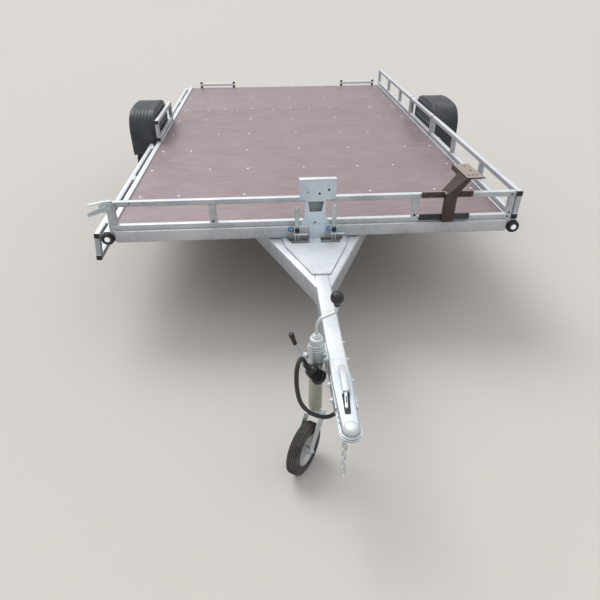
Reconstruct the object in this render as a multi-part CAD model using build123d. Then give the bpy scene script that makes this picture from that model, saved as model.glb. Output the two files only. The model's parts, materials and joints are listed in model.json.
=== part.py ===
from build123d import *
import os
from math import asin, atan2, cos, hypot, pi, radians, sin, sqrt, tan

# ATV trailer: a tilting plywood bed on a V shaped drawbar chassis. The ground is z = 0,
# the drawbar points to -Y and the bed ends at +Y. X is zero at the middle. The model is
# drawn with y = 0 at the front rail's face and moved at the end, so that its length is
# centred. All sizes are in millimetres.

# Bed
BED_LENGTH = 3318.0        # front rail's face to the rear ends of the side rails
BED_BOTTOM = 505.0         # underside of the bed frame above the ground
RAIL_X = 957.5             # middle of the bed to the middle of a side rail tube
SIDE_WIDTH = 30.0          # side member, seen from above
SIDE_HEIGHT = 50.0
BEAM_WIDTH = 50.0          # front and rear beams, seen from above
LEDGE_DEPTH = 15.0         # how far the front beam stands out in front of the rail
LEDGE_HALF = 917.0
CROSS_WIDTH = 30.0
CROSS_HEIGHT = 30.0
CROSS_WALL = 3.0
JOINT_CROSS_WIDTH = 60.0   # the cross member under the joint of the panels
PIVOT_CROSS_WIDTH = 40.0
DECK_THICK = 12.0
DECK_GAP = 2.0             # clearance round each panel

# Rails
TUBE = 25.0                # square rail tube
RAIL_GAP = 88.0            # clear height between the lower and the top tube
LIFT_GAP = 5.0             # a closed board's lower tube above the side member
CORNER_GAP = 6.0           # a side board clear of the front rail
SECTION_GAP = 10.0         # gap between two sections of a side rail
FRONT_SECTION = 1405.0     # length of the front side board
MIDDLE_SECTION = 590.0     # length of the fixed rail beside the mudguard

# Hinges of the side boards
HINGE_X = 981.0
HINGE_DROP = 33.0          # hinge pin below the lower tube's top
HINGE_PIN_R = 5.0
HINGE_FIT = 0.1
KNUCKLE_R = 8.0
KNUCKLE_LENGTH = 30.0
KNUCKLE_GAP = 1.0
LUG_RISE = 3.0             # a hinge lug's top above its pin's middle
STRAP_THICK = 4.0
BOARD_OPEN_ANGLE = 173.0   # how far a board folds down beside the bed

# Drawbar and chassis
DRAWBAR_GAP = 7.0          # top of the drawbar below the bed
LEG_HEIGHT = 80.0
LEG_WIDTH = 57.0
BEAM_HALF = 30.0           # half width of the middle beam of the drawbar
TUBE_WALL = 3.0
LEG_SPREAD = 22.8          # angle of a leg to the middle line
LEG_START_X = 215.0        # outer edge of a leg where it passes under the front beam
LEG_START_Y = -14.0
BEAM_FRONT_Y = -1010.0     # front end of the middle beam, inside the coupler
BEAM_REAR_Y = 60.0
GUSSET_THICK = 6.0
RAIL_BAR_X = 915.0         # middle of the chassis side bar
RAIL_BAR_WIDTH = 40.0
RAIL_BAR_FRONT_Y = 1470.0

# Tilt pivot
PIVOT_Y = 1830.0
PIVOT_PIN_R = 8.0
LUG_THICK = 8.0
LUG_GAP = 5.0
LUG_R = 24.0

# Axle and wheels
WHEEL_Y = 1710.0
WHEEL_X = 1067.5
TYRE_R = 289.0
TYRE_WIDTH = 155.0
RIM_SEAT_R = 164.0
RIM_FLANGE_R = 176.0
RIM_WIDTH = 128.0
RIM_WALL = 4.0
RIM_OFFSET = 30.0          # mounting face outward of the rim's middle
HUB_R = 45.0
HUB_FLANGE_R = 72.0
HUB_CLEARANCE = 5.0        # the hub's inner end inward of the tyre
STUB_R = 17.5
STUB_FIT = 0.1
AXLE_Y = 1560.0
AXLE_Z = 375.0
AXLE_SIZE = 70.0
ARM_THICK = 25.0
ARM_CLEARANCE = 20.0       # between a trailing arm and the tyre
ARM_BIG_R = 38.0
ARM_SMALL_R = 30.0
WHEEL_SIDES = 36           # flat steps round the tyre and the rim
TREAD_HALF = 45.0          # half width of the flat tread

# Mudguards
GUARD_WIDTH = 175.0
GUARD_HALF_LENGTH = 267.0
GUARD_TOP = 750.0
GUARD_BOTTOM = 461.0
GUARD_CORNER_R = 140.0
GUARD_CROWN_R = 1200.0
GUARD_SHEET = 3.0
GUARD_LIP = 15.0

# Coupler
BALL_Y = -1186.0
BALL_R = 25.25
COUPLER_HALF = 34.0
COUPLER_SHEET = 4.0
COUPLER_REAR_Y = -930.0
COUPLER_DEPTH = 58.0
SOCKET_WALL = 8.0
NOSE_R = 42.0              # flange round the ball socket

# Jockey wheel
JOCKEY_X = -67.0
JOCKEY_Y = -845.0
JOCKEY_TUBE_R = 24.0
JOCKEY_TUBE_WALL = 3.5
JOCKEY_FIT = 0.5
JOCKEY_TUBE_BOTTOM = 240.0
JOCKEY_TUBE_TOP = 525.0
JOCKEY_COLLAR_R = 29.0
JOCKEY_COLLAR_HEIGHT = 40.0
JOCKEY_WHEEL_R = 100.0
JOCKEY_WHEEL_WIDTH = 44.0
JOCKEY_RIM_R = 62.0
JOCKEY_TRAIL = 84.6        # wheel axle behind the swivel axis
JOCKEY_SWIVEL = -33.0      # the fork's angle as parked
JOCKEY_BOLT_R = 6.0
FORK_GAP = 5.5
FORK_SHEET = 4.0
CROWN_Z = 212.0
CLAMP_R = 32.0
CLAMP_Z = 465.0
CLAMP_HEIGHT = 60.0

# Plug and lead
PLUG_R = 27.0
PLUG_END = (-94.0, -900.0, 470.0)
PLUG_FACE = (-55.0, -900.0, 420.0)
LEAD_R = 7.5
LEAD_ROUTE = [
    (-94.0, -900.0, 470.0),
    (-105.7, -900.0, 485.0),
    (-112.0, -909.0, 513.0),
    (-125.0, -932.0, 545.0),
    (-139.0, -962.0, 528.0),
    (-141.0, -972.0, 480.0),
    (-137.0, -966.0, 425.0),
    (-127.0, -956.0, 370.0),
    (-104.0, -942.0, 318.0),
    (-70.0, -925.0, 273.0),
    (-26.0, -908.0, 243.0),
    (12.0, -896.0, 262.0),
    (16.0, -888.0, 312.0),
    (10.0, -880.0, 366.0),
    (10.0, -880.0, 418.0),
]

# Safety chain
CHAIN_X = -2.0
CHAIN_Y = -1120.0
CHAIN_PIN_Z = 458.0
CHAIN_PIN_R = 3.5
CHAIN_WIRE_R = 2.75
LINK_PITCH = 21.0
LINK_PLAY = 0.3
LINK_HALF_WIDTH = 6.5
LINK_COUNT = 10
WIRE_SIDES = 6
SNAP_HOOK_REACH = 28.0
SNAP_HOOK_HALF_WIDTH = 9.0

# Winch plate
PLATE_THICK = 5.0
WINCH_TOP = 782.0
WINCH_HOLE_R = 5.5
WINCH_HOLES = [(22.0, 714.0), (64.0, 731.0)]

# Levels and places that follow from the sizes above
SIDE_TOP = BED_BOTTOM + SIDE_HEIGHT
RAIL_BOTTOM = SIDE_TOP + LIFT_GAP
LOWER_Z = RAIL_BOTTOM + TUBE / 2
TOP_Z = LOWER_Z + TUBE + RAIL_GAP
RAIL_TOP = TOP_Z + TUBE / 2
SIDE_INNER = RAIL_X - SIDE_WIDTH / 2
SIDE_OUTER = RAIL_X + SIDE_WIDTH / 2
DECK_BOTTOM = BED_BOTTOM + CROSS_HEIGHT
DECK_TOP = DECK_BOTTOM + DECK_THICK
HINGE_Z = RAIL_BOTTOM + TUBE - HINGE_DROP
DRAWBAR_TOP = BED_BOTTOM - DRAWBAR_GAP
DRAWBAR_BOTTOM = DRAWBAR_TOP - LEG_HEIGHT
MIDDLE_START = FRONT_SECTION + SECTION_GAP
MIDDLE_END = MIDDLE_START + MIDDLE_SECTION
REAR_START = MIDDLE_END + SECTION_GAP
FRONT_RAIL_HALF = RAIL_X - TUBE / 2 - CORNER_GAP
HOOK_BAR_Y = BED_LENGTH
MODEL_REAR = HOOK_BAR_Y + TUBE
MODEL_FRONT = BALL_Y - NOSE_R
Y_MIDDLE = (MODEL_FRONT + MODEL_REAR) / 2
TYRE_INNER_X = WHEEL_X - TYRE_WIDTH / 2
HUB_INNER_X = TYRE_INNER_X - HUB_CLEARANCE
AXLE_HALF = TYRE_INNER_X - ARM_CLEARANCE - ARM_THICK
GUARD_INNER_X = WHEEL_X - GUARD_WIDTH / 2

os.makedirs("parts", exist_ok=True)


def block(x0, x1, y0, y1, z0, z1):
    """A box between two corners."""
    size = (abs(x1 - x0), abs(y1 - y0), abs(z1 - z0))
    middle = ((x0 + x1) / 2, (y0 + y1) / 2, (z0 + z1) / 2)
    return Pos(*middle) * Box(*size)


def rod(start, end, radius):
    """A round bar between two points."""
    run = Vector(*end) - Vector(*start)
    place = Plane(origin=start, z_dir=run)
    return place * Cylinder(radius, run.length, align=(Align.CENTER, Align.CENTER, Align.MIN))


def bar(start, end, radius, sides=8):
    """A straight bar with flat sides between two points."""
    run = Vector(*end) - Vector(*start)
    section = RegularPolygon(radius, sides)
    return Plane(origin=start, z_dir=run) * extrude(section, run.length)


def carried_round(outlines):
    """Closed outlines, each joined to the next one and the last to the first by flat faces."""
    faces = []
    for here, after in zip(outlines, outlines[1:] + outlines[:1]):
        for first in range(len(here)):
            second = (first + 1) % len(here)
            corners = list(dict.fromkeys([here[first], here[second], after[second], after[first]]))
            if len(corners) > 2:
                faces.append(Face(Wire.make_polygon(corners)))
    return Solid(Shell(faces))


def turned(points, place, sides):
    """A closed outline of (radius, place along the axis) points, turned in flat steps."""
    step = 2 * pi / sides
    outlines = []
    for number in range(sides):
        turn = (number + 0.5) * step
        across = cos(turn) / cos(step / 2)
        up = sin(turn) / cos(step / 2)
        outlines.append([(r * across, r * up, along) for r, along in points])
    return place * carried_round(outlines)


def both_sides(shape):
    """The shape and its mirror image on the other side of the trailer."""
    return [shape, mirror(shape, about=Plane.YZ)]


def save(name, solids):
    """Write one piece, moved so that the trailer's length is centred."""
    whole = Compound(children=[Pos(0, -Y_MIDDLE, 0) * s for s in solids])
    export_step(whole, f"parts/{name}.step")


def profile_x(points, x0, x1):
    """A flat outline of (y, z) points, carried from x0 to x1."""
    face = make_face(Polyline(*[(0, y, z) for y, z in points], close=True))
    return Pos(min(x0, x1), 0, 0) * extrude(face, abs(x1 - x0), dir=(1, 0, 0))


def profile_y(points, y0, y1):
    """A flat outline of (x, z) points, carried from y0 to y1."""
    face = make_face(Polyline(*[(x, 0, z) for x, z in points], close=True))
    return Pos(0, min(y0, y1), 0) * extrude(face, abs(y1 - y0), dir=(0, 1, 0))


def profile_z(points, z0, z1):
    """A flat outline of (x, y) points, carried from z0 to z1."""
    face = make_face(Polyline(*[(x, y, 0) for x, y in points], close=True))
    return Pos(0, 0, min(z0, z1)) * extrude(face, abs(z1 - z0), dir=(0, 0, 1))


# Bed frame: two side members with the hinge pins, front and rear beams, cross members.

HINGE_INSET = 120.0        # the outer hinges from the ends of a board
BOARD_HINGES = {
    "front": [HINGE_INSET, FRONT_SECTION / 2, FRONT_SECTION - HINGE_INSET],
    "rear": [REAR_START + HINGE_INSET, (REAR_START + BED_LENGTH) / 2, BED_LENGTH - HINGE_INSET],
}


def bed_hinge(y):
    """Half of a hinge on the side member: a lug with its pin."""
    y1 = y + KNUCKLE_LENGTH
    lug = block(SIDE_OUTER, HINGE_X, y, y1, HINGE_Z - KNUCKLE_R, HINGE_Z + LUG_RISE)
    eye = bar((HINGE_X, y, HINGE_Z), (HINGE_X, y + KNUCKLE_LENGTH, HINGE_Z), KNUCKLE_R)
    pin_end = y - KNUCKLE_GAP - KNUCKLE_LENGTH
    pin = rod((HINGE_X, y, HINGE_Z), (HINGE_X, pin_end, HINGE_Z), HINGE_PIN_R)
    return lug + eye + pin


side_member = block(SIDE_INNER, SIDE_OUTER, 0, BED_LENGTH, BED_BOTTOM, SIDE_TOP)
for hinge_places in BOARD_HINGES.values():
    for hinge_y in hinge_places:
        side_member += bed_hinge(hinge_y)
save("side_members", both_sides(side_member))

front_beam = block(-SIDE_INNER, SIDE_INNER, 0, BEAM_WIDTH - LEDGE_DEPTH, BED_BOTTOM, RAIL_BOTTOM)
front_beam += block(-LEDGE_HALF, LEDGE_HALF, -LEDGE_DEPTH, 0, BED_BOTTOM, RAIL_BOTTOM)
save("front_beam", [front_beam])

REAR_BEAM_Y = BED_LENGTH - BEAM_WIDTH
rear_beam = block(-SIDE_INNER, SIDE_INNER, REAR_BEAM_Y, BED_LENGTH, BED_BOTTOM, DECK_BOTTOM)
save("rear_beam", [rear_beam])

PANEL_JOINT_Y = 2364.0
# middle of each cross member, its width
CROSS_TABLE = [
    (437.0, CROSS_WIDTH),
    (850.0, CROSS_WIDTH),
    (1222.0, CROSS_WIDTH),
    (1612.0, CROSS_WIDTH),
    (PIVOT_Y, PIVOT_CROSS_WIDTH),
    (2030.0, CROSS_WIDTH),
    (PANEL_JOINT_Y, JOINT_CROSS_WIDTH),
    (2800.0, CROSS_WIDTH),
]


def cross_member(y, width):
    """A cross member pressed from sheet, open below."""
    outer = block(-SIDE_INNER, SIDE_INNER, y - width / 2, y + width / 2, BED_BOTTOM, DECK_BOTTOM)
    half = width / 2 - CROSS_WALL
    inner = block(-SIDE_INNER, SIDE_INNER, y - half, y + half, BED_BOTTOM, DECK_BOTTOM - CROSS_WALL)
    return outer - inner


save("cross_members", [cross_member(y, width) for y, width in CROSS_TABLE])

# Deck: two plywood panels that meet over the wide cross member.
DECK_HALF = SIDE_INNER - DECK_GAP
deck_front = block(-DECK_HALF, DECK_HALF, BEAM_WIDTH - LEDGE_DEPTH + DECK_GAP,
                   PANEL_JOINT_Y - DECK_GAP / 2, DECK_BOTTOM, DECK_TOP)
deck_rear = block(-DECK_HALF, DECK_HALF, PANEL_JOINT_Y + DECK_GAP / 2, BED_LENGTH,
                  DECK_BOTTOM, DECK_TOP)
save("deck_panels", [deck_front, deck_rear])

# Tilt lugs: plates under the pivot cross member, one beside each side bar of the chassis.
BAR_INNER = RAIL_BAR_X - RAIL_BAR_WIDTH / 2
BAR_OUTER = RAIL_BAR_X + RAIL_BAR_WIDTH / 2
PIVOT_Z = DRAWBAR_TOP - LEG_HEIGHT / 2
LUG_OUTER = BAR_INNER - LUG_GAP
LUG_INNER = LUG_OUTER - LUG_THICK
lug_top_half = PIVOT_CROSS_WIDTH / 2
lug_outline = [
    (PIVOT_Y - lug_top_half, BED_BOTTOM),
    (PIVOT_Y + lug_top_half, BED_BOTTOM),
    (PIVOT_Y + LUG_R, PIVOT_Z),
    (PIVOT_Y - LUG_R, PIVOT_Z),
]
lug_start = (LUG_INNER, PIVOT_Y, PIVOT_Z)
lug_end = (LUG_OUTER, PIVOT_Y, PIVOT_Z)
lug = profile_x(lug_outline, LUG_INNER, LUG_OUTER)
lug += bar(lug_start, lug_end, LUG_R, 16)
lug -= rod(lug_start, lug_end, PIVOT_PIN_R + HINGE_FIT)
save("tilt_lugs", both_sides(lug))

# Rails. A side rail is a lower and a top tube with posts between them.


def side_tube(y0, y1, z):
    """A square tube of the side rail."""
    half = TUBE / 2
    return block(RAIL_X - half, RAIL_X + half, y0, y1, z - half, z + half)


def side_post(y):
    """A post of the side rail, between the two tubes."""
    half = TUBE / 2
    return block(RAIL_X - half, RAIL_X + half, y - half, y + half, LOWER_Z + half, TOP_Z - half)


def front_tube(z):
    """A square tube of the front rail."""
    half = TUBE / 2
    return block(-FRONT_RAIL_HALF, FRONT_RAIL_HALF, 0, TUBE, z - half, z + half)


fixed_tubes = [front_tube(LOWER_Z), front_tube(TOP_Z)]
fixed_tubes += both_sides(side_tube(MIDDLE_START, MIDDLE_END, LOWER_Z))
fixed_tubes += both_sides(side_tube(MIDDLE_START, MIDDLE_END, TOP_Z))
save("fixed_rail_tubes", fixed_tubes)

# left and right face of each post of the front rail
FRONT_POSTS = [
    (-FRONT_RAIL_HALF, -902.0),
    (-482.0, -450.0),
    (455.0, 485.0),
    (913.0, FRONT_RAIL_HALF),
]
fixed_posts = [block(x0, x1, 0, TUBE, LOWER_Z + TUBE / 2, TOP_Z - TUBE / 2) for x0, x1 in FRONT_POSTS]
for post_y in (MIDDLE_START + TUBE / 2, MIDDLE_END - TUBE / 2):
    fixed_posts += both_sides(side_post(post_y))
    foot = block(SIDE_INNER, SIDE_OUTER, post_y - TUBE / 2, post_y + TUBE / 2, SIDE_TOP, RAIL_BOTTOM)
    fixed_posts += both_sides(foot)
save("fixed_rail_posts", fixed_posts)


def board_strap(y):
    """A board's half of a hinge: a strap on the lower tube and its eye round the pin."""
    y1 = y - KNUCKLE_GAP
    y0 = y1 - KNUCKLE_LENGTH
    outer = RAIL_X + TUBE / 2
    bend = [
        (outer, RAIL_BOTTOM),
        (outer, RAIL_BOTTOM + TUBE / 2),
        (HINGE_X + KNUCKLE_R, HINGE_Z),
        (HINGE_X, HINGE_Z),
    ]
    strap = block(outer, outer + STRAP_THICK, y0, y1, RAIL_BOTTOM, RAIL_BOTTOM + TUBE)
    strap += profile_y(bend, y0, y1)
    strap += bar((HINGE_X, y0, HINGE_Z), (HINGE_X, y1, HINGE_Z), KNUCKLE_R)
    return strap - rod((HINGE_X, y0, HINGE_Z), (HINGE_X, y1, HINGE_Z), HINGE_PIN_R + HINGE_FIT)


# name, start, end, middles of the posts
BOARD_TABLE = [
    ("front", 0.0, FRONT_SECTION, [TUBE / 2, 477.0, 949.0, FRONT_SECTION - TUBE / 2]),
    ("rear", REAR_START, BED_LENGTH,
     [REAR_START + TUBE / 2, 2400.0, 2858.0, BED_LENGTH - TUBE / 2]),
]
hinge_line = Axis((-HINGE_X, 0, HINGE_Z), (0, 1, 0))
for board_name, start, end, post_places in BOARD_TABLE:
    lower_tube = side_tube(start, end, LOWER_Z)
    for hinge_y in BOARD_HINGES[board_name]:
        lower_tube += board_strap(hinge_y)
    tubes = [lower_tube, side_tube(start, end, TOP_Z)]
    posts = [side_post(y) for y in post_places]
    save(f"board_{board_name}_right_tubes", tubes)
    save(f"board_{board_name}_right_posts", posts)
    folded_tubes = [mirror(s, about=Plane.YZ).rotate(hinge_line, -BOARD_OPEN_ANGLE) for s in tubes]
    folded_posts = [mirror(s, about=Plane.YZ).rotate(hinge_line, -BOARD_OPEN_ANGLE) for s in posts]
    save(f"board_{board_name}_left_tubes", folded_tubes)
    save(f"board_{board_name}_left_posts", folded_posts)

# Hook bars: two low tubes on posts behind the rear beam, where ramps hang.
# left and right end of each bar
HOOK_BARS = [(-865.0, -517.0), (554.0, 898.0)]
HOOK_POST = 15.0
HOOK_BAR_TOP = RAIL_BOTTOM + TUBE + 20.0
hook_solids = []
for x0, x1 in HOOK_BARS:
    hook_bar = block(x0, x1, HOOK_BAR_Y, HOOK_BAR_Y + TUBE, HOOK_BAR_TOP - TUBE, HOOK_BAR_TOP)
    for post_x in (x0 + TUBE, x1 - TUBE - HOOK_POST):
        hook_bar += block(post_x, post_x + HOOK_POST, HOOK_BAR_Y, HOOK_BAR_Y + TUBE, BED_BOTTOM, HOOK_BAR_TOP - TUBE)
    hook_solids.append(hook_bar)
save("hook_bars", hook_solids)

# Rear lamps under the rear beam.
LAMP_INNER_X = 745.0
LAMP_LENGTH = 190.0
LAMP_HEIGHT = 62.0
LAMP_DEPTH = 42.0
rear_lamp = block(LAMP_INNER_X, LAMP_INNER_X + LAMP_LENGTH, BED_LENGTH - LAMP_DEPTH, BED_LENGTH,
                  BED_BOTTOM - LAMP_HEIGHT, BED_BOTTOM)
LAMP_EDGE = 6.0
rear_lamp = chamfer(rear_lamp.faces().sort_by(Axis.Y)[-1].edges(), LAMP_EDGE)
save("rear_lamps", both_sides(rear_lamp))

# Marker lamps: a rubber ring with a white lens on the front end of each side member.
MARKER_RING_R = 34.0
MARKER_LENS_R = 14.5
MARKER_DEPTH = 20.0
MARKER_BULGE = 6.0
MARKER_Z = BED_BOTTOM + 18.0
MARKER_SIDES = 20
ring_points = [
    (MARKER_LENS_R, 0.0),
    (MARKER_RING_R, 0.0),
    (MARKER_RING_R, MARKER_DEPTH - 12.0),
    (MARKER_RING_R - 8.0, MARKER_DEPTH),
    (MARKER_LENS_R + 4.0, MARKER_DEPTH),
    (MARKER_LENS_R, MARKER_DEPTH - MARKER_BULGE),
]
lens_points = [
    (0.0, 0.0),
    (MARKER_LENS_R, 0.0),
    (MARKER_LENS_R, MARKER_DEPTH - MARKER_BULGE),
    (MARKER_LENS_R - MARKER_BULGE, MARKER_DEPTH - 1.0),
    (0.0, MARKER_DEPTH),
]
marker_place = Plane(origin=(RAIL_X, 0, MARKER_Z), z_dir=(0, -1, 0))
save("marker_rings", both_sides(turned(ring_points, marker_place, MARKER_SIDES)))
save("marker_lenses", both_sides(turned(lens_points, marker_place, MARKER_SIDES)))

# Winch plate: a column with a window and a head plate, bolted in front of the front rail.
HEAD_LEFT = -69.0
HEAD_RIGHT = 97.0
COLUMN_LEFT = -46.0
COLUMN_RIGHT = 52.0
APRON_LEFT = -25.0
APRON_RIGHT = 48.0
FLARE_Z = RAIL_BOTTOM + 45.0    # the column widens below this level
LIP_DEPTH = 16.0
SHEET_BEHIND = 20.0             # the sheet behind the window, from the plate to its back
COLUMN_SHEET = 3.0
plate_outline = [
    (-68.0, RAIL_BOTTOM),
    (COLUMN_LEFT, FLARE_Z),
    (COLUMN_LEFT, TOP_Z),
    (HEAD_LEFT, TOP_Z),
    (HEAD_LEFT, WINCH_TOP),
    (HEAD_RIGHT, WINCH_TOP),
    (HEAD_RIGHT, TOP_Z),
    (COLUMN_RIGHT, TOP_Z),
    (COLUMN_RIGHT, FLARE_Z),
    (78.0, RAIL_BOTTOM),
]
winch_plate = profile_y(plate_outline, -PLATE_THICK, 0)
WINDOW_LOW = LOWER_Z + 55.0
WINDOW_HIGH = TOP_Z - 8.0
window = [(-22.0, WINDOW_LOW), (-30.0, WINDOW_HIGH), (42.0, WINDOW_HIGH), (32.0, WINDOW_LOW)]
winch_plate -= profile_y(window, -PLATE_THICK, 0)
winch_plate += block(HEAD_LEFT, HEAD_RIGHT, -PLATE_THICK, LIP_DEPTH, WINCH_TOP - PLATE_THICK, WINCH_TOP)
apron_front = -LEDGE_DEPTH - PLATE_THICK
winch_plate += block(APRON_LEFT, APRON_RIGHT, apron_front, 0, RAIL_BOTTOM, RAIL_BOTTOM + PLATE_THICK)
winch_plate += block(APRON_LEFT, APRON_RIGHT, apron_front, -LEDGE_DEPTH, BED_BOTTOM, RAIL_BOTTOM)
sheet_low = LOWER_Z + TUBE / 2
sheet_high = TOP_Z - TUBE / 2
sheet_front = SHEET_BEHIND - COLUMN_SHEET
left_flange = COLUMN_LEFT + COLUMN_SHEET
right_flange = COLUMN_RIGHT - COLUMN_SHEET
winch_plate += block(COLUMN_LEFT, COLUMN_RIGHT, sheet_front, SHEET_BEHIND, sheet_low, sheet_high)
winch_plate += block(COLUMN_LEFT, left_flange, 0, SHEET_BEHIND, sheet_low, sheet_high)
winch_plate += block(right_flange, COLUMN_RIGHT, 0, SHEET_BEHIND, sheet_low, sheet_high)
for hole_x, hole_z in WINCH_HOLES:
    winch_plate -= rod((hole_x, -PLATE_THICK - 1, hole_z), (hole_x, 1, hole_z), WINCH_HOLE_R)
save("winch_plate", [winch_plate])

# Bed latches: a base on the front beam, a hand lever, a cross bar and a hanging bail.
# middle of the lever, top of the lever, ends of the cross bar
LATCH_TABLE = [
    (-80.0, 665.0, -126.0, -32.0),
    (92.0, 681.0, 53.0, 140.0),
]
LATCH_FACE = -LEDGE_DEPTH
LATCH_BASE = 4.0
BAIL_Y = -46.0
BAIL_R = 4.0
BAIL_HALF = 14.0
BAIL_TOP = BED_BOTTOM + 38.0
BAIL_BOTTOM = DRAWBAR_TOP - 22.0
BASE_LOW = BED_BOTTOM + 19.0
BASE_TOP = BASE_LOW + 20.0
FOOT_LOW = BED_BOTTOM + 25.0
LEVER_HALF = 10.0
LEVER_FOOT = RAIL_BOTTOM - 4.0
LEVER_THICK = 6.0
LEVER_Y = LATCH_FACE - 22.0
latch_solids = []
for lever_x, lever_top, bar_x0, bar_x1 in LATCH_TABLE:
    base_front = LATCH_FACE - LATCH_BASE
    left = lever_x - LEVER_HALF
    right = lever_x + LEVER_HALF
    latch = block(bar_x0, bar_x1, base_front, LATCH_FACE, BASE_LOW, BASE_TOP)
    latch += block(left - 1.0, right + 1.0, BAIL_Y, LATCH_FACE, FOOT_LOW, LEVER_FOOT)
    latch += block(left, right, LEVER_Y, LEVER_Y + LEVER_THICK, LEVER_FOOT, lever_top)
    for side in (-1, 1):
        bail_x = lever_x + side * BAIL_HALF
        latch += rod((bail_x, BAIL_Y, BAIL_BOTTOM), (bail_x, BAIL_Y, BAIL_TOP), BAIL_R)
        latch += rod((bail_x, BAIL_Y, BAIL_TOP), (lever_x, BAIL_Y, BAIL_TOP), BAIL_R)
    bail_left = (lever_x - BAIL_HALF - BAIL_R, BAIL_Y, BAIL_BOTTOM)
    bail_right = (lever_x + BAIL_HALF + BAIL_R, BAIL_Y, BAIL_BOTTOM)
    latch += rod(bail_left, bail_right, BAIL_R)
    latch_solids.append(latch)
save("bed_latches", latch_solids)

# Spare wheel bracket: two clamp bars in front of the rail, an upright tube, a leaning arm
# and a flat head plate over the bed.
CLAMP_BAR = 8.0
CLAMP_LEFT = 492.0
CLAMP_RIGHT = 731.0
CLAMP_LOW_Z = 571.0             # undersides of the two clamp bars
CLAMP_HIGH_Z = 681.0
CLAMP_BAR_HEIGHT = 27.0
UPRIGHT_LEFT = 599.0
UPRIGHT_RIGHT = 644.0
UPRIGHT_DEPTH = 26.0
HEAD_Z = 785.0
HEAD_THICK = 6.0
HEAD_FRONT_Y = -55.0
HEAD_BACK_Y = 140.0
HEAD_STEP_Y = 10.0              # the plate's left edge steps in behind this place
HEAD_LEFT_X = 625.0
HEAD_STEP_X = 664.0
HEAD_FLANGE = 22.0
HEAD_HOLE_R = 6.5
HEAD_HOLES = [(706.0, 106.0), (691.0, -20.0), (733.0, -20.0)]
upright_front = -CLAMP_BAR - UPRIGHT_DEPTH
clamp_low_top = CLAMP_LOW_Z + CLAMP_BAR_HEIGHT
clamp_high_top = CLAMP_HIGH_Z + CLAMP_BAR_HEIGHT
bracket = block(CLAMP_LEFT, CLAMP_RIGHT, -CLAMP_BAR, 0, CLAMP_LOW_Z, clamp_low_top)
bracket += block(CLAMP_LEFT, CLAMP_RIGHT, -CLAMP_BAR, 0, CLAMP_HIGH_Z, clamp_high_top)
bracket += block(UPRIGHT_LEFT, UPRIGHT_RIGHT, upright_front, -CLAMP_BAR, CLAMP_LOW_Z, clamp_high_top)
leaning_arm = [
    (UPRIGHT_LEFT, clamp_high_top),
    (UPRIGHT_RIGHT, clamp_high_top),
    (690.0, HEAD_Z),
    (634.0, HEAD_Z),
]
bracket += profile_y(leaning_arm, upright_front, -CLAMP_BAR)
head_outline = [
    (HEAD_LEFT_X, HEAD_FRONT_Y),
    (751.0, HEAD_FRONT_Y),
    (748.0, HEAD_STEP_Y),
    (732.0, HEAD_BACK_Y),
    (HEAD_STEP_X, HEAD_BACK_Y),
    (HEAD_STEP_X, HEAD_STEP_Y),
    (HEAD_LEFT_X, HEAD_STEP_Y),
]
head = profile_z(head_outline, HEAD_Z, HEAD_Z + HEAD_THICK)
flange_right = HEAD_STEP_X + HEAD_THICK
head += block(HEAD_STEP_X, flange_right, HEAD_STEP_Y, HEAD_BACK_Y, HEAD_Z - HEAD_FLANGE, HEAD_Z)
for hole_x, hole_y in HEAD_HOLES:
    head -= Pos(hole_x, hole_y, HEAD_Z + HEAD_THICK / 2) * Cylinder(HEAD_HOLE_R, HEAD_THICK + 2)
bracket += head
save("spare_wheel_bracket", [bracket])

# Corner latch: a plate on the front rail's left corner and a lever that sticks out.
CORNER_LATCH_Y = -14.0
CORNER_SHEET = 6.0
CORNER_PLATE_RIGHT = -895.0
CORNER_PLATE_LOW = 668.0
CORNER_BODY_THICK = 10.0
strip_outline = [
    (-FRONT_RAIL_HALF + 4.0, RAIL_TOP),
    (-1009.0, 686.0),
    (-1009.0, 695.0),
    (-936.0, 711.0),
    (-905.0, 711.0),
    (-905.0, RAIL_TOP),
]
body_outline = [(-905.0, 707.0), (-942.0, 706.0), (-970.0, 688.0), (-960.0, 664.0), (-905.0, 669.0)]
lever_outline = [(-917.0, 682.0), (-1020.0, 641.0), (-1023.0, 649.0), (-921.0, 694.0)]
strip_back = CORNER_LATCH_Y + CORNER_SHEET
body_front = CORNER_LATCH_Y - CORNER_BODY_THICK
latch_plate = block(-FRONT_RAIL_HALF, CORNER_PLATE_RIGHT, CORNER_LATCH_Y, 0, CORNER_PLATE_LOW, RAIL_TOP)
strip = profile_y(strip_outline, CORNER_LATCH_Y, strip_back)
latch_body = profile_y(body_outline, body_front, CORNER_LATCH_Y)
lever = profile_y(lever_outline, body_front - CORNER_SHEET, body_front)
save("corner_latch", [latch_plate + strip + latch_body + lever])

# Chassis. The middle beam of the drawbar runs into the coupler and under the front beam.
drawbar_beam = block(-BEAM_HALF, BEAM_HALF, BEAM_FRONT_Y, BEAM_REAR_Y, DRAWBAR_BOTTOM, DRAWBAR_TOP)
beam_hollow = block(-BEAM_HALF + TUBE_WALL, BEAM_HALF - TUBE_WALL, BEAM_FRONT_Y, BEAM_REAR_Y,
                    DRAWBAR_BOTTOM + TUBE_WALL, DRAWBAR_TOP - TUBE_WALL)
save("drawbar_beam", [drawbar_beam - beam_hollow])

# The legs run from the beam's sides to the side bars, which carry the axle and the pivot.
spread = radians(LEG_SPREAD)
leg_slope = tan(spread)
leg_cut = LEG_WIDTH / cos(spread)


def leg_outer_x(y):
    """Outer edge of the leg at a place along the trailer."""
    return LEG_START_X + (y - LEG_START_Y) * leg_slope


def leg_y_at(x):
    """The place along the trailer where the leg's outer edge passes x."""
    return LEG_START_Y + (x - LEG_START_X) / leg_slope


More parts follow.
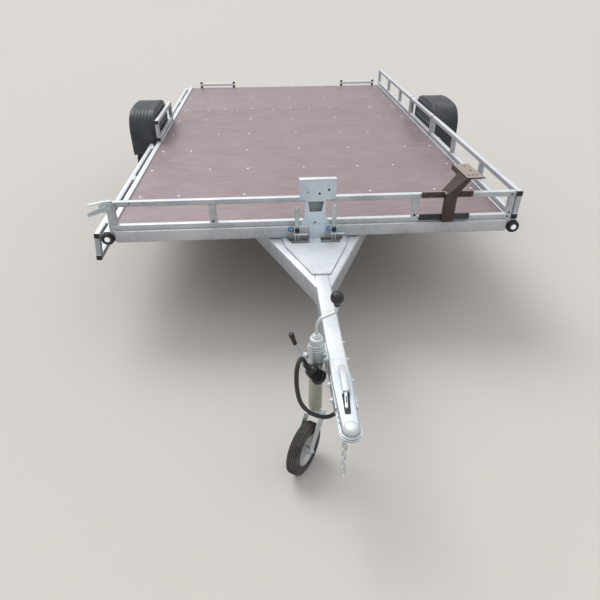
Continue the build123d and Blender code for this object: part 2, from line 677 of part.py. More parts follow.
leg_front_y = leg_y_at(BEAM_HALF)
leg_inner_front_y = leg_y_at(BEAM_HALF + leg_cut)
leg_outline = [
    (BEAM_HALF, leg_front_y),
    (BAR_INNER, leg_y_at(BAR_INNER)),
    (BAR_INNER, leg_y_at(BAR_INNER + leg_cut)),
    (BEAM_HALF, leg_inner_front_y),
]
leg = profile_z(leg_outline, DRAWBAR_BOTTOM, DRAWBAR_TOP)
BAR_R = LEG_HEIGHT / 2
side_bar = block(BAR_INNER, BAR_OUTER, RAIL_BAR_FRONT_Y, PIVOT_Y, DRAWBAR_BOTTOM, DRAWBAR_TOP)
side_bar += bar((BAR_INNER, PIVOT_Y, PIVOT_Z), (BAR_OUTER, PIVOT_Y, PIVOT_Z), BAR_R, 24)
PIN_REACH = 10.0           # the pivot pin beyond its lug
pin_start = (LUG_INNER - PIN_REACH, PIVOT_Y, PIVOT_Z)
side_bar += rod(pin_start, (BAR_INNER, PIVOT_Y, PIVOT_Z), PIVOT_PIN_R)
save("drawbar_legs", both_sides(leg + side_bar))

# Gusset plate on top of the legs, with a window on each side of the middle strip.
GUSSET_BACK_Y = -5.0
GUSSET_WIDE_Y = -97.0
GUSSET_FRONT_Y = -355.0
GUSSET_BACK_HALF = 155.0
GUSSET_WIDE_HALF = 141.0
GUSSET_FRONT_HALF = 37.0
WINDOW_BACK_Y = -12.0
WINDOW_FRONT_Y = -75.0
WINDOW_INNER = 26.0
WINDOW_OUTER_BACK = 135.0
WINDOW_OUTER_FRONT = 112.0
gusset_top = DRAWBAR_TOP + GUSSET_THICK
gusset_outline = [
    (-GUSSET_BACK_HALF, GUSSET_BACK_Y),
    (-GUSSET_WIDE_HALF, GUSSET_WIDE_Y),
    (-GUSSET_FRONT_HALF, GUSSET_FRONT_Y),
    (GUSSET_FRONT_HALF, GUSSET_FRONT_Y),
    (GUSSET_WIDE_HALF, GUSSET_WIDE_Y),
    (GUSSET_BACK_HALF, GUSSET_BACK_Y),
]
gusset = profile_z(gusset_outline, DRAWBAR_TOP, gusset_top)
for side in (-1, 1):
    opening = [
        (side * WINDOW_INNER, WINDOW_BACK_Y),
        (side * WINDOW_OUTER_BACK, WINDOW_BACK_Y),
        (side * WINDOW_OUTER_FRONT, WINDOW_FRONT_Y),
        (side * WINDOW_INNER, WINDOW_FRONT_Y),
    ]
    gusset -= profile_z(opening, DRAWBAR_TOP, gusset_top)
save("gusset_plate", [gusset])

# Rest pads of the bed on the legs, and the hooks that the bed latches catch.
PAD_GAP = 0.3
PAD_SIZE = 40.0
PAD_INSET = 10.0           # a pad inward of the leg's outer edge
pad_outer = leg_outer_x(0.0) - PAD_INSET
pad = block(pad_outer - PAD_SIZE, pad_outer, 0.0, PAD_SIZE, DRAWBAR_TOP, BED_BOTTOM - PAD_GAP)
save("bed_rests", both_sides(pad))
CATCH_FRONT_Y = -34.0
CATCH_BACK_Y = -24.0
CATCH_TOP = DRAWBAR_TOP - 8.0
CATCH_HEIGHT = 20.0
catch_outer = leg_outer_x(CATCH_FRONT_Y) - leg_cut
catch = block(BEAM_HALF, catch_outer, CATCH_FRONT_Y, CATCH_BACK_Y, CATCH_TOP - CATCH_HEIGHT, CATCH_TOP)
save("latch_catches", both_sides(catch))

# Axle beam under the side bars, trailing arms with the stub axles.
axle_half_size = AXLE_SIZE / 2
axle = block(-AXLE_HALF, AXLE_HALF, AXLE_Y - axle_half_size, AXLE_Y + axle_half_size,
             AXLE_Z - axle_half_size, AXLE_Z + axle_half_size)
SADDLE_EDGE = 8.0          # a saddle wider than the side bar on each side
SADDLE_HALF = 50.0
saddle_inner = BAR_INNER - SADDLE_EDGE
saddle_outer = BAR_OUTER + SADDLE_EDGE
saddle_low = AXLE_Z + axle_half_size
saddle = block(saddle_inner, saddle_outer, AXLE_Y - SADDLE_HALF, AXLE_Y + SADDLE_HALF,
               saddle_low, DRAWBAR_BOTTOM)
for half_saddle in both_sides(saddle):
    axle += half_saddle
save("axle_beam", [axle])


def trailing_arm():
    """A forged arm between two round ends, with the stub axle at the rear end."""
    dy = WHEEL_Y - AXLE_Y
    dz = TYRE_R - AXLE_Z
    reach = hypot(dy, dz)
    lean = atan2(dz, dy)
    turn = asin((ARM_BIG_R - ARM_SMALL_R) / reach)
    points = []
    for sign in (1, -1):
        angle = lean + sign * (radians(90.0) - turn)
        big = (AXLE_Y + ARM_BIG_R * cos(angle), AXLE_Z + ARM_BIG_R * sin(angle))
        small = (WHEEL_Y + ARM_SMALL_R * cos(angle), TYRE_R + ARM_SMALL_R * sin(angle))
        points += [big, small] if sign == 1 else [small, big]
    inner = AXLE_HALF
    outer = AXLE_HALF + ARM_THICK
    arm = profile_x(points, inner, outer)
    arm += bar((inner, AXLE_Y, AXLE_Z), (outer, AXLE_Y, AXLE_Z), ARM_BIG_R, 24)
    arm += bar((inner, WHEEL_Y, TYRE_R), (outer, WHEEL_Y, TYRE_R), ARM_SMALL_R, 24)
    arm += rod((outer, WHEEL_Y, TYRE_R), (WHEEL_X + RIM_OFFSET, WHEEL_Y, TYRE_R), STUB_R)
    return arm


save("trailing_arms", both_sides(trailing_arm()))

# Mudguards: an arched sheet with an inner plate and a turned lip at its outer edge.


def guard_outline(inset):
    """The guard's side view as a closed face, drawn in by an inset, open edge below."""
    half = GUARD_HALF_LENGTH - inset
    top = GUARD_TOP - inset
    corner = GUARD_CORNER_R - inset
    crown = GUARD_CROWN_R - inset
    crown_z = top - crown
    corner_y = half - corner
    corner_z = crown_z + sqrt((crown - corner) ** 2 - corner_y ** 2)
    angle = atan2(corner_z - crown_z, corner_y)
    joint = (corner_y + corner * cos(angle), corner_z + corner * sin(angle))
    middle_angle = angle / 2
    bend = (corner_y + corner * cos(middle_angle), corner_z + corner * sin(middle_angle))
    right_side = Line((half, GUARD_BOTTOM), (half, corner_z))
    right_corner = ThreePointArc((half, corner_z), bend, joint)
    arch = ThreePointArc(joint, (0, top), (-joint[0], joint[1]))
    left_corner = ThreePointArc((-joint[0], joint[1]), (-bend[0], bend[1]), (-half, corner_z))
    left_side = Line((-half, corner_z), (-half, GUARD_BOTTOM))
    base = Line((-half, GUARD_BOTTOM), (half, GUARD_BOTTOM))
    return make_face(Curve() + [right_side, right_corner, arch, left_corner, left_side, base])


def guard_slab(inset, x0, x1):
    """The guard's side view as a slab between two places across the trailer."""
    side_plane = Plane(origin=(x0, WHEEL_Y, 0), x_dir=(0, 1, 0), z_dir=(1, 0, 0))
    return extrude(side_plane * guard_outline(inset), x1 - x0)


GUARD_OUTER_X = GUARD_INNER_X + GUARD_WIDTH
guard = guard_slab(0, GUARD_INNER_X, GUARD_OUTER_X)
guard -= guard_slab(GUARD_SHEET, GUARD_INNER_X + GUARD_SHEET, GUARD_OUTER_X - GUARD_SHEET)
guard -= guard_slab(GUARD_LIP, GUARD_INNER_X + GUARD_SHEET, GUARD_OUTER_X)
save("mudguards", both_sides(guard))

# Brackets that carry the mudguards on the side bars.
# front edge, rear edge
GUARD_BRACKETS = [(1510.0, 1550.0), (1800.0, 1860.0)]
BRACKET_THICK = 6.0
bracket_top = GUARD_BOTTOM + BRACKET_THICK
bracket_solids = []
for y0, y1 in GUARD_BRACKETS:
    bracket_solids += both_sides(block(BAR_OUTER, GUARD_INNER_X, y0, y1, GUARD_BOTTOM, bracket_top))
save("mudguard_brackets", bracket_solids)

# Wheels: a tyre on a steel rim that is bolted to a hub. The outlines are points of radius
# and place from the wheel's middle outward.


def wheel_place(side):
    """The wheel's axle, pointing outward on one side of the trailer."""
    return Plane(origin=(side * WHEEL_X, WHEEL_Y, TYRE_R), x_dir=(0, 0, 1), z_dir=(side, 0, 0))


def both_edges(points):
    """An outline of (radius, place) points and its mirror image at the other edge."""
    return points + [(r, -along) for r, along in reversed(points)]


half_tyre = TYRE_WIDTH / 2
half_rim = RIM_WIDTH / 2
SEAT_GAP = 0.3
seat_edge = half_rim - RIM_WALL - SEAT_GAP
# sidewall from the bead to the tread, then the same at the other edge
sidewall = [
    (RIM_SEAT_R + SEAT_GAP, seat_edge),
    (RIM_FLANGE_R + SEAT_GAP, seat_edge),
    (RIM_FLANGE_R + 6.0, half_rim + 2.0),
    (RIM_FLANGE_R + 30.0, half_tyre - 3.0),
    (RIM_FLANGE_R + 62.0, half_tyre),
    (TYRE_R - 20.0, half_tyre - 5.0),
    (TYRE_R - 4.0, half_tyre - 17.0),
    (TYRE_R, TREAD_HALF),
]
tyre_cavity = [
    (RIM_SEAT_R + SEAT_GAP, 20.0 - half_rim),
    (RIM_SEAT_R + 14.0, 22.0 - half_rim),
    (TYRE_R - 28.0, 18.0 - half_tyre),
    (TYRE_R - 18.0, 0.0),
    (TYRE_R - 28.0, half_tyre - 18.0),
    (RIM_SEAT_R + 14.0, half_rim - 22.0),
    (RIM_SEAT_R + SEAT_GAP, half_rim - 20.0),
]
WELL_DEPTH = 16.0
RIM_BORE_R = 28.0
well_r = RIM_SEAT_R - WELL_DEPTH
barrel_inner_r = RIM_SEAT_R - RIM_WALL
disc_front = RIM_OFFSET + RIM_WALL
rim_points = [
    (RIM_FLANGE_R, -half_rim),
    (RIM_FLANGE_R, RIM_WALL - half_rim),
    (RIM_SEAT_R, RIM_WALL - half_rim),
    (RIM_SEAT_R, -34.0),
    (well_r, -26.0),
    (well_r, 6.0),
    (RIM_SEAT_R, 18.0),
    (RIM_SEAT_R, half_rim - RIM_WALL),
    (RIM_FLANGE_R, half_rim - RIM_WALL),
    (RIM_FLANGE_R, half_rim),
    (barrel_inner_r, half_rim),
    (barrel_inner_r, 16.0),
    (140.0, 26.0),
    (112.0, disc_front + 10.0),
    (92.0, disc_front + 8.0),
    (HUB_FLANGE_R, disc_front),
    (RIM_BORE_R, disc_front),
    (RIM_BORE_R, RIM_OFFSET),
    (HUB_FLANGE_R, RIM_OFFSET),
    (94.0, RIM_OFFSET + 7.0),
    (110.0, RIM_OFFSET + 9.0),
    (136.0, 21.0),
    (well_r - RIM_WALL, 8.0),
    (well_r - RIM_WALL, -30.0),
    (barrel_inner_r, -38.0),
    (barrel_inner_r, -half_rim),
]
HUB_SIDES = 24
HUB_CAP_R = 27.0
HUB_CAP_REACH = 28.0
hub_inner = HUB_INNER_X - WHEEL_X
hub_points = [
    (0.0, hub_inner),
    (HUB_R, hub_inner),
    (HUB_R, RIM_OFFSET - 12.0),
    (HUB_FLANGE_R, RIM_OFFSET - 8.0),
    (HUB_FLANGE_R, RIM_OFFSET),
    (HUB_CAP_R, RIM_OFFSET),
    (HUB_CAP_R, RIM_OFFSET + HUB_CAP_REACH - 6.0),
    (HUB_CAP_R - 5.0, RIM_OFFSET + HUB_CAP_REACH),
    (0.0, RIM_OFFSET + HUB_CAP_REACH),
]
STUB_END_GAP = 1.0
bore_depth = RIM_OFFSET + STUB_END_GAP - hub_inner
for side_name, side in (("left", -1), ("right", 1)):
    place = wheel_place(side)
    bore = place * Pos(0, 0, hub_inner + bore_depth / 2) * Cylinder(STUB_R + STUB_FIT, bore_depth)
    save(f"tyre_{side_name}", [turned(both_edges(sidewall) + tyre_cavity, place, WHEEL_SIDES)])
    save(f"rim_{side_name}", [turned(rim_points, place, WHEEL_SIDES)])
    save(f"hub_{side_name}", [turned(hub_points, place, HUB_SIDES) - bore])

# Coupler: a pressed steel housing over the beam's end with the ball socket at its nose.
COUPLER_TOP = DRAWBAR_TOP + COUPLER_SHEET
COUPLER_BOTTOM = COUPLER_TOP - COUPLER_DEPTH
coupler = block(-COUPLER_HALF, COUPLER_HALF, BALL_Y, COUPLER_REAR_Y, COUPLER_BOTTOM, COUPLER_TOP)
coupler += Pos(0, BALL_Y, (COUPLER_TOP + COUPLER_BOTTOM) / 2) * Cylinder(COUPLER_HALF, COUPLER_DEPTH)
inner_half = COUPLER_HALF - COUPLER_SHEET
coupler -= block(-inner_half, inner_half, BALL_Y + BALL_R + SOCKET_WALL, COUPLER_REAR_Y,
                 COUPLER_BOTTOM, DRAWBAR_TOP)
SOCKET_DEPTH = 24.0
coupler -= Pos(0, BALL_Y, COUPLER_BOTTOM + SOCKET_DEPTH / 2) * Cylinder(BALL_R, SOCKET_DEPTH)
coupler -= Pos(0, BALL_Y, COUPLER_BOTTOM + SOCKET_DEPTH) * Sphere(BALL_R)
DOME_R = 29.0
DOME_HEIGHT = 9.0
NOSE_HEIGHT = 6.0
base_align = (Align.CENTER, Align.CENTER, Align.MIN)
dome = Cone(DOME_R, DOME_R - DOME_HEIGHT / 2, DOME_HEIGHT, align=base_align)
coupler += Pos(0, BALL_Y, COUPLER_TOP) * dome
nose = Cylinder(NOSE_R, NOSE_HEIGHT, align=base_align) - Cylinder(BALL_R, COUPLER_DEPTH)
coupler += Pos(0, BALL_Y, COUPLER_BOTTOM) * nose
chain_pin_start = (-inner_half, CHAIN_Y, CHAIN_PIN_Z)
chain_pin_end = (inner_half, CHAIN_Y, CHAIN_PIN_Z)
coupler += bar(chain_pin_start, chain_pin_end, CHAIN_PIN_R)
save("coupler_body", [coupler])

# Coupler handle: a channel along the top, wide at its grip and narrow at the latch.
GRIP_HALF = 19.0
GRIP_FRONT_Y = -1037.0
GRIP_LOW = COUPLER_TOP + 10.0
GRIP_TOP = COUPLER_TOP + 26.0
GRIP_SHEET = 4.0
SLOT_HALF = 12.5
SLOT_FRONT_Y = -1127.0
SLOT_TOP = COUPLER_TOP + 20.0
SLOT_FLOOR = COUPLER_TOP + 6.0
grip_inner = GRIP_HALF - GRIP_SHEET
slot_inner = SLOT_HALF - GRIP_SHEET
grip_hollow_front = GRIP_FRONT_Y + GRIP_SHEET
grip = block(-GRIP_HALF, GRIP_HALF, GRIP_FRONT_Y, COUPLER_REAR_Y, GRIP_LOW, GRIP_TOP)
grip -= block(-grip_inner, grip_inner, grip_hollow_front, COUPLER_REAR_Y, GRIP_LOW, GRIP_TOP - GRIP_SHEET)
slot = block(-SLOT_HALF, SLOT_HALF, SLOT_FRONT_Y, grip_hollow_front, COUPLER_TOP, SLOT_TOP)
slot -= block(-slot_inner, slot_inner, SLOT_FRONT_Y + GRIP_SHEET, GRIP_FRONT_Y, SLOT_FLOOR, SLOT_TOP)
save("coupler_handle", [grip + slot])

# Safety chain: oval links that hang from a pin in the coupler, with a snap hook below.


def chain_link(z_middle, reach, half_width, across):
    """One upright oval of wire with flat sides, reaching up and down to the wire's middle."""
    corner_turn = radians(45.0)
    stretch = 1 / cos(corner_turn / 2)
    outlines = []
    for number in range(8):
        turn = (number + 0.5) * corner_turn
        centre_z = (reach - half_width) * (1 if number < 4 else -1)
        outline = []
        for corner in range(WIRE_SIDES):
            angle = 2 * pi * corner / WIRE_SIDES
            away = (half_width + CHAIN_WIRE_R * cos(angle)) * stretch
            flat = (away * cos(turn), CHAIN_WIRE_R * sin(angle))
            x, y = (flat[1], flat[0]) if across else flat
            outline.append((x + CHAIN_X, y + CHAIN_Y, centre_z + away * sin(turn) + z_middle))
        outlines.append(outline)
    return carried_round(outlines)


link_reach = (LINK_PITCH + 2 * CHAIN_WIRE_R + LINK_PLAY) / 2
pin_seat = CHAIN_PIN_R + CHAIN_WIRE_R + LINK_PLAY
first_middle = CHAIN_PIN_Z + pin_seat - link_reach
chain_solids = []
for number in range(LINK_COUNT):
    middle = first_middle - number * LINK_PITCH
    chain_solids.append(chain_link(middle, link_reach, LINK_HALF_WIDTH, number % 2 == 0))
hook_top = first_middle - (LINK_COUNT - 1) * LINK_PITCH - link_reach + 2 * CHAIN_WIRE_R + LINK_PLAY
hook_turned = LINK_COUNT % 2 == 0
hook_middle = hook_top - SNAP_HOOK_REACH
chain_solids.append(chain_link(hook_middle, SNAP_HOOK_REACH, SNAP_HOOK_HALF_WIDTH, hook_turned))
save("safety_chain", chain_solids)

# Jockey wheel: outer tube in a clamp on the beam's left side, crank on top.
JOCKEY_SIDES = 24
COLLAR_TOP = JOCKEY_TUBE_TOP + JOCKEY_COLLAR_HEIGHT
tube_bore = JOCKEY_TUBE_R - JOCKEY_TUBE_WALL
jockey_place = Plane(origin=(JOCKEY_X, JOCKEY_Y, 0))
jockey_tube_points = [
    (tube_bore, JOCKEY_TUBE_BOTTOM),
    (JOCKEY_TUBE_R, JOCKEY_TUBE_BOTTOM),
    (JOCKEY_TUBE_R, JOCKEY_TUBE_TOP),
    (JOCKEY_COLLAR_R, JOCKEY_TUBE_TOP),
    (JOCKEY_COLLAR_R, COLLAR_TOP),
    (0.0, COLLAR_TOP),
    (0.0, JOCKEY_TUBE_TOP),
    (tube_bore, JOCKEY_TUBE_TOP),
]
save("jockey_tube", [turned(jockey_tube_points, jockey_place, JOCKEY_SIDES)])

CLAMP_ARM_HALF = 22.0
CLAMP_PLATE_HALF = 44.0
CLAMP_PLATE_THICK = 6.0
CLAMP_PLATE_LOW = DRAWBAR_BOTTOM + 10.0
clamp_bore = JOCKEY_TUBE_R + SEAT_GAP
clamp_top = CLAMP_Z + CLAMP_HEIGHT
clamp_ring_points = [
    (clamp_bore, CLAMP_Z),
    (CLAMP_R, CLAMP_Z),
    (CLAMP_R, clamp_top),
    (clamp_bore, clamp_top),
]
bore_points = [(0.0, CLAMP_Z), (clamp_bore, CLAMP_Z), (clamp_bore, clamp_top), (0.0, clamp_top)]
clamp_arm = block(JOCKEY_X, -BEAM_HALF, JOCKEY_Y - CLAMP_ARM_HALF, JOCKEY_Y + CLAMP_ARM_HALF,
                  CLAMP_Z, DRAWBAR_TOP)
plate_left = -BEAM_HALF - CLAMP_PLATE_THICK
clamp_plate = block(plate_left, -BEAM_HALF, JOCKEY_Y - CLAMP_PLATE_HALF, JOCKEY_Y + CLAMP_PLATE_HALF,
                    CLAMP_PLATE_LOW, DRAWBAR_TOP)
clamp_arm -= turned(bore_points, jockey_place, JOCKEY_SIDES)
clamp = turned(clamp_ring_points, jockey_place, JOCKEY_SIDES) + clamp_arm + clamp_plate
# start, end and radius of each straight part of the clamp's lever
LEVER_TABLE = [
    ((JOCKEY_X - CLAMP_R + 2.0, JOCKEY_Y, 480.0), (-114.0, JOCKEY_Y, 480.0), 9.0),
    ((-110.0, JOCKEY_Y, 480.0), (-138.0, JOCKEY_Y, 533.0), 4.5),
    ((-137.0, JOCKEY_Y, 531.0), (-151.0, JOCKEY_Y, 577.0), 9.5),
]
for part_start, part_end, part_r in LEVER_TABLE:
    clamp += bar(part_start, part_end, part_r)
save("jockey_clamp", [clamp])

CRANK_R = 6.5
KNOB_X = -4.0
KNOB_LOW = 672.0
KNOB_R = 22.0
crank_path = Polyline(
    (JOCKEY_X, JOCKEY_Y, COLLAR_TOP),
    (JOCKEY_X, JOCKEY_Y, 600.0),
    (-56.0, JOCKEY_Y, 620.0),
    (KNOB_X, JOCKEY_Y, 652.0),
    (KNOB_X, JOCKEY_Y, KNOB_LOW),
)
crank_start = Plane(origin=(JOCKEY_X, JOCKEY_Y, COLLAR_TOP), z_dir=(0, 0, 1))
crank_section = crank_start * RegularPolygon(CRANK_R, 8, major_radius=False)
crank = sweep(crank_section, path=crank_path, transition=Transition.RIGHT)
knob_middle = KNOB_LOW + 35.0
knob_points = [(0.0, KNOB_LOW), (9.0, KNOB_LOW), (9.0, knob_middle - 21.0), (18.0, knob_middle - 13.0),
               (KNOB_R, knob_middle), (18.0, knob_middle + 13.0), (8.0, knob_middle + KNOB_R),
               (0.0, knob_middle + KNOB_R)]
crank += turned(knob_points, Plane(origin=(KNOB_X, JOCKEY_Y, 0)), 12)
save("jockey_crank", [crank])

# The moving leg in the outer tube.
INNER_R = tube_bore - JOCKEY_FIT
LEG_TOP = JOCKEY_TUBE_TOP - 20.0
FLANGE_Z = CROWN_Z + 6.0
jockey_leg = Cylinder(INNER_R, LEG_TOP - FLANGE_Z, align=base_align)
save("jockey_leg", [Pos(JOCKEY_X, JOCKEY_Y, FLANGE_Z) * jockey_leg])

# The fork below the leg: a crown and two cheeks, and its bolt through the wheel.
CROWN_GAP = 0.3
CROWN_FRONT = 24.0
CROWN_BACK = -30.0
BOLT_REACH = 7.0           # the bolt's ends beyond the fork's cheeks
fork_inner = JOCKEY_WHEEL_WIDTH / 2 + FORK_GAP
fork_outer = fork_inner + FORK_SHEET
fork = block(-fork_outer, fork_outer, CROWN_BACK, CROWN_FRONT, CROWN_Z, FLANGE_Z - CROWN_GAP)
cheek = [
    (CROWN_FRONT, CROWN_Z + 3.0),
    (CROWN_BACK, CROWN_Z + 3.0),
    (-JOCKEY_TRAIL - 14.0, JOCKEY_WHEEL_R - 8.0),
    (-JOCKEY_TRAIL + 2.0, JOCKEY_WHEEL_R - 14.0),
    (CROWN_FRONT, CROWN_Z - 22.0),
]
for side in (-1, 1):
    fork += profile_x(cheek, side * fork_inner, side * fork_outer)
bolt_end = fork_outer + BOLT_REACH
bolt_left = (-bolt_end, -JOCKEY_TRAIL, JOCKEY_WHEEL_R)
fork += rod(bolt_left, (bolt_end, -JOCKEY_TRAIL, JOCKEY_WHEEL_R), JOCKEY_BOLT_R)
swivel = Pos(JOCKEY_X, JOCKEY_Y, 0) * Rot(0, 0, JOCKEY_SWIVEL)
save("jockey_fork", [swivel * fork])

small_half = JOCKEY_WHEEL_WIDTH / 2
JOCKEY_WHEEL_SIDES = 28
JOCKEY_RIM_HALF = 18.0
RIM_NAVE_REACH = 4.0       # the rim's middle beyond the tyre on each side
jockey_sidewall = [
    (JOCKEY_RIM_R + SEAT_GAP, 16.0),
    (JOCKEY_RIM_R + 12.0, small_half),
    (JOCKEY_WHEEL_R - 14.0, small_half),
    (JOCKEY_WHEEL_R - 3.0, small_half - 7.0),
    (JOCKEY_WHEEL_R, small_half - 14.0),
]
nave_end = small_half + RIM_NAVE_REACH
jockey_rim_edge = [
    (0.0, nave_end),
    (13.0, nave_end),
    (15.0, 4.0),
    (48.0, 2.5),
    (JOCKEY_RIM_R - 6.0, JOCKEY_RIM_HALF),
    (JOCKEY_RIM_R, JOCKEY_RIM_HALF),
]
bolt_place = Plane(origin=(0, -JOCKEY_TRAIL, JOCKEY_WHEEL_R), x_dir=(0, 0, 1), z_dir=(1, 0, 0))
jockey_tyre = turned(both_edges(jockey_sidewall), bolt_place, JOCKEY_WHEEL_SIDES)
jockey_rim = turned(both_edges(jockey_rim_edge), bolt_place, JOCKEY_WHEEL_SIDES)
jockey_rim -= bolt_place * Cylinder(JOCKEY_BOLT_R + HINGE_FIT, 2 * nave_end)
save("jockey_tyre", [swivel * jockey_tyre])
save("jockey_rim", [swivel * jockey_rim])

# Plug beside the beam with its lead, which hangs in a loop and goes up into the beam.
plug_run = Vector(*PLUG_FACE) - Vector(*PLUG_END)
plug_place = Plane(origin=PLUG_END, z_dir=plug_run)
plug = plug_place * extrude(RegularPolygon(PLUG_R, 8), plug_run.length)
save("plug", [plug])

RUN_SHARE = 0.45           # how much of a straight run each bend of the lead takes
lead_points = [Vector(*p) for p in LEAD_ROUTE]
lead_radii = []
for before, here, after in zip(lead_points, lead_points[1:], lead_points[2:]):
    turn_angle = (here - before).get_angle(after - here)
    shorter = min((here - before).length, (after - here).length)
    lead_radii.append(RUN_SHARE * shorter / tan(radians(turn_angle) / 2))
lead_path = FilletPolyline(*lead_points, radius=lead_radii)
lead_place = Plane(origin=lead_path @ 0, z_dir=lead_path % 0)
lead_section = RegularPolygon(LEAD_R, 8, major_radius=False)
lead = sweep(lead_place * lead_section, path=lead_path)
print("lead length", round(lead_path.length))
print("volume by section and length", round(lead.volume / (lead_path.length * lead_section.area), 3))
save("lead", [lead])
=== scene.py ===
import json
import math

import bmesh
import bpy
import numpy as np
from mathutils import Matrix, Vector

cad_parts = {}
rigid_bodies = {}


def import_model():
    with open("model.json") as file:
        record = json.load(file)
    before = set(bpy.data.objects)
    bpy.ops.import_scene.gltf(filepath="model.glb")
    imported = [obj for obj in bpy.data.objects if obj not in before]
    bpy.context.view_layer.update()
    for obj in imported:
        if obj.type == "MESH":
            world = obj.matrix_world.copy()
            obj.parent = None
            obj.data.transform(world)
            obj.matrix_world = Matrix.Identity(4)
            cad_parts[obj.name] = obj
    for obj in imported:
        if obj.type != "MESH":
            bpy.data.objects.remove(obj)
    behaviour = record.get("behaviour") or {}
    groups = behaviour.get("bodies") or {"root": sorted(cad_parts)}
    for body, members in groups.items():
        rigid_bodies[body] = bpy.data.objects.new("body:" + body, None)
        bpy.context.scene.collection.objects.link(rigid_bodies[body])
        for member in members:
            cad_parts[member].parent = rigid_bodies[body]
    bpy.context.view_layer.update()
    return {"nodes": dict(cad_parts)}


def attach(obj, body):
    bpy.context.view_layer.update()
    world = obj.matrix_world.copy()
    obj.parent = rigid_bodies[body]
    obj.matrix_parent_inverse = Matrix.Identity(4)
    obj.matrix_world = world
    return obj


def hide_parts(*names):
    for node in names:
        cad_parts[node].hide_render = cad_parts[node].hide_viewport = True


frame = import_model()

# The camera stands in front of the coupler at the height of a person's eyes and looks down the
# length of the trailer, a little to its right.
in_scene = bpy.context.scene.collection.objects
yaw, pitch, roll = math.radians(3.495), math.radians(33.76), math.radians(-0.232)
ahead = Vector((math.sin(yaw) * math.cos(pitch), math.cos(yaw) * math.cos(pitch), -math.sin(pitch)))
level = Vector((math.cos(yaw), -math.sin(yaw), 0.0))
above = level.cross(ahead)
camera_right = math.cos(roll) * level + math.sin(roll) * above
camera_up = -math.sin(roll) * level + math.cos(roll) * above
camera = bpy.data.objects.new("camera", bpy.data.cameras.new("camera"))
camera.matrix_world = Matrix((camera_right, camera_up, -ahead)).transposed().to_4x4()
camera.matrix_world.translation = Vector((-0.199, -3.1875, 1.565))
camera.data.sensor_width = 36.0
camera.data.lens = 29.92
in_scene.link(camera)
bpy.context.scene.camera = camera
bpy.context.scene.view_settings.view_transform = "Standard"

# The lead of the lamp plug is a round rubber cable of 15 mm. It leaves the back of the plug,
# bends over it and hangs in one loop, and its other end goes up into the drawbar's beam.
FRONT_RAIL_Y = 1057.5


def metres(points):
    """Millimetres, with y counted from the front rail's face, to metres in the model's frame:
    the face's own place is taken from y, and then all three are divided by a thousand."""
    return (np.asarray(points, float) - (0.0, FRONT_RAIL_Y, 0.0)) / 1000.0


def fed(finish, made, inputs):
    """Feeds a node's inputs: another node's socket is linked, and any other value is set on the
    input's own socket."""
    for key, value in inputs.items():
        if isinstance(value, bpy.types.NodeSocket):
            finish.node_tree.links.new(value, made.inputs[key])
        else:
            made.inputs[key].default_value = value
    return made


def coat(finish, inputs):
    """Feeds the inputs of the material's own shader."""
    return fed(finish, finish.node_tree.nodes["Principled BSDF"], inputs)


def new_finish(name, colour, roughness, metallic=0.0):
    """A material whose shader has a plain colour, roughness and metallic; nodes come after."""
    finish = bpy.data.materials.new(name)
    finish.use_nodes = True
    coat(finish, {"Base Color": (*colour, 1.0), "Roughness": roughness, "Metallic": metallic})
    return finish


def node(finish, kind, inputs=None, **settings):
    """A new shader node with its settings and its inputs."""
    made = finish.node_tree.nodes.new("ShaderNode" + kind)
    for key, value in settings.items():
        setattr(made, key, value)
    return fed(finish, made, inputs or {})


def noise(finish, place, scale, detail, roughness=0.5):
    """Soft clouds between 0 and 1, so many to a metre."""
    values = {"Vector": place, "Scale": scale, "Detail": detail, "Roughness": roughness}
    return node(finish, "TexNoise", values).outputs["Fac"]


def mapped(finish, value, low, high, source=(0.0, 1.0)):
    """The value moved from its source range to the range low to high, and held inside it."""
    spread = {"Value": value, "From Min": source[0], "From Max": source[1], "To Min": low, "To Max": high}
    return node(finish, "MapRange", spread).outputs["Result"]


def shaded(finish, factor, *stops):
    """Colours along a factor: each stop is a place from 0 to 1 and a colour."""
    ramp = node(finish, "ValToRGB", {"Fac": factor})
    while len(ramp.color_ramp.elements) < len(stops):
        ramp.color_ramp.elements.new(0.5)
    for element, (place, colour) in zip(ramp.color_ramp.elements, stops):
        element.position = place
        element.color = (*colour, 1.0)
    return ramp.outputs["Color"]


def bumped(finish, height, distance, strength=1.0):
    """Lets a height between 0 and 1 tilt the surface; distance is in metres."""
    bump = node(finish, "Bump", {"Height": height, "Distance": distance, "Strength": strength})
    coat(finish, {"Normal": bump.outputs["Normal"]})


def grainy(name, colour, dusty, roughness, grain, depth):
    """A moulded or cast finish: clouds of dust 20 to 60 mm wide lighten the colour, and a fine
    grain, so many to a metre, roughens and dents the surface."""
    finish = new_finish(name, colour, roughness)
    place = node(finish, "TexCoord").outputs["Object"]
    clouds = noise(finish, place, 17.0, 5.0)
    speck = noise(finish, place, grain, 2.0)
    coat(finish, {"Base Color": shaded(finish, clouds, (0.42, colour), (0.68, dusty)),
                  "Roughness": mapped(finish, speck, roughness - 0.07, roughness + 0.1, (0.35, 0.65))})
    bumped(finish, speck, depth)
    return finish


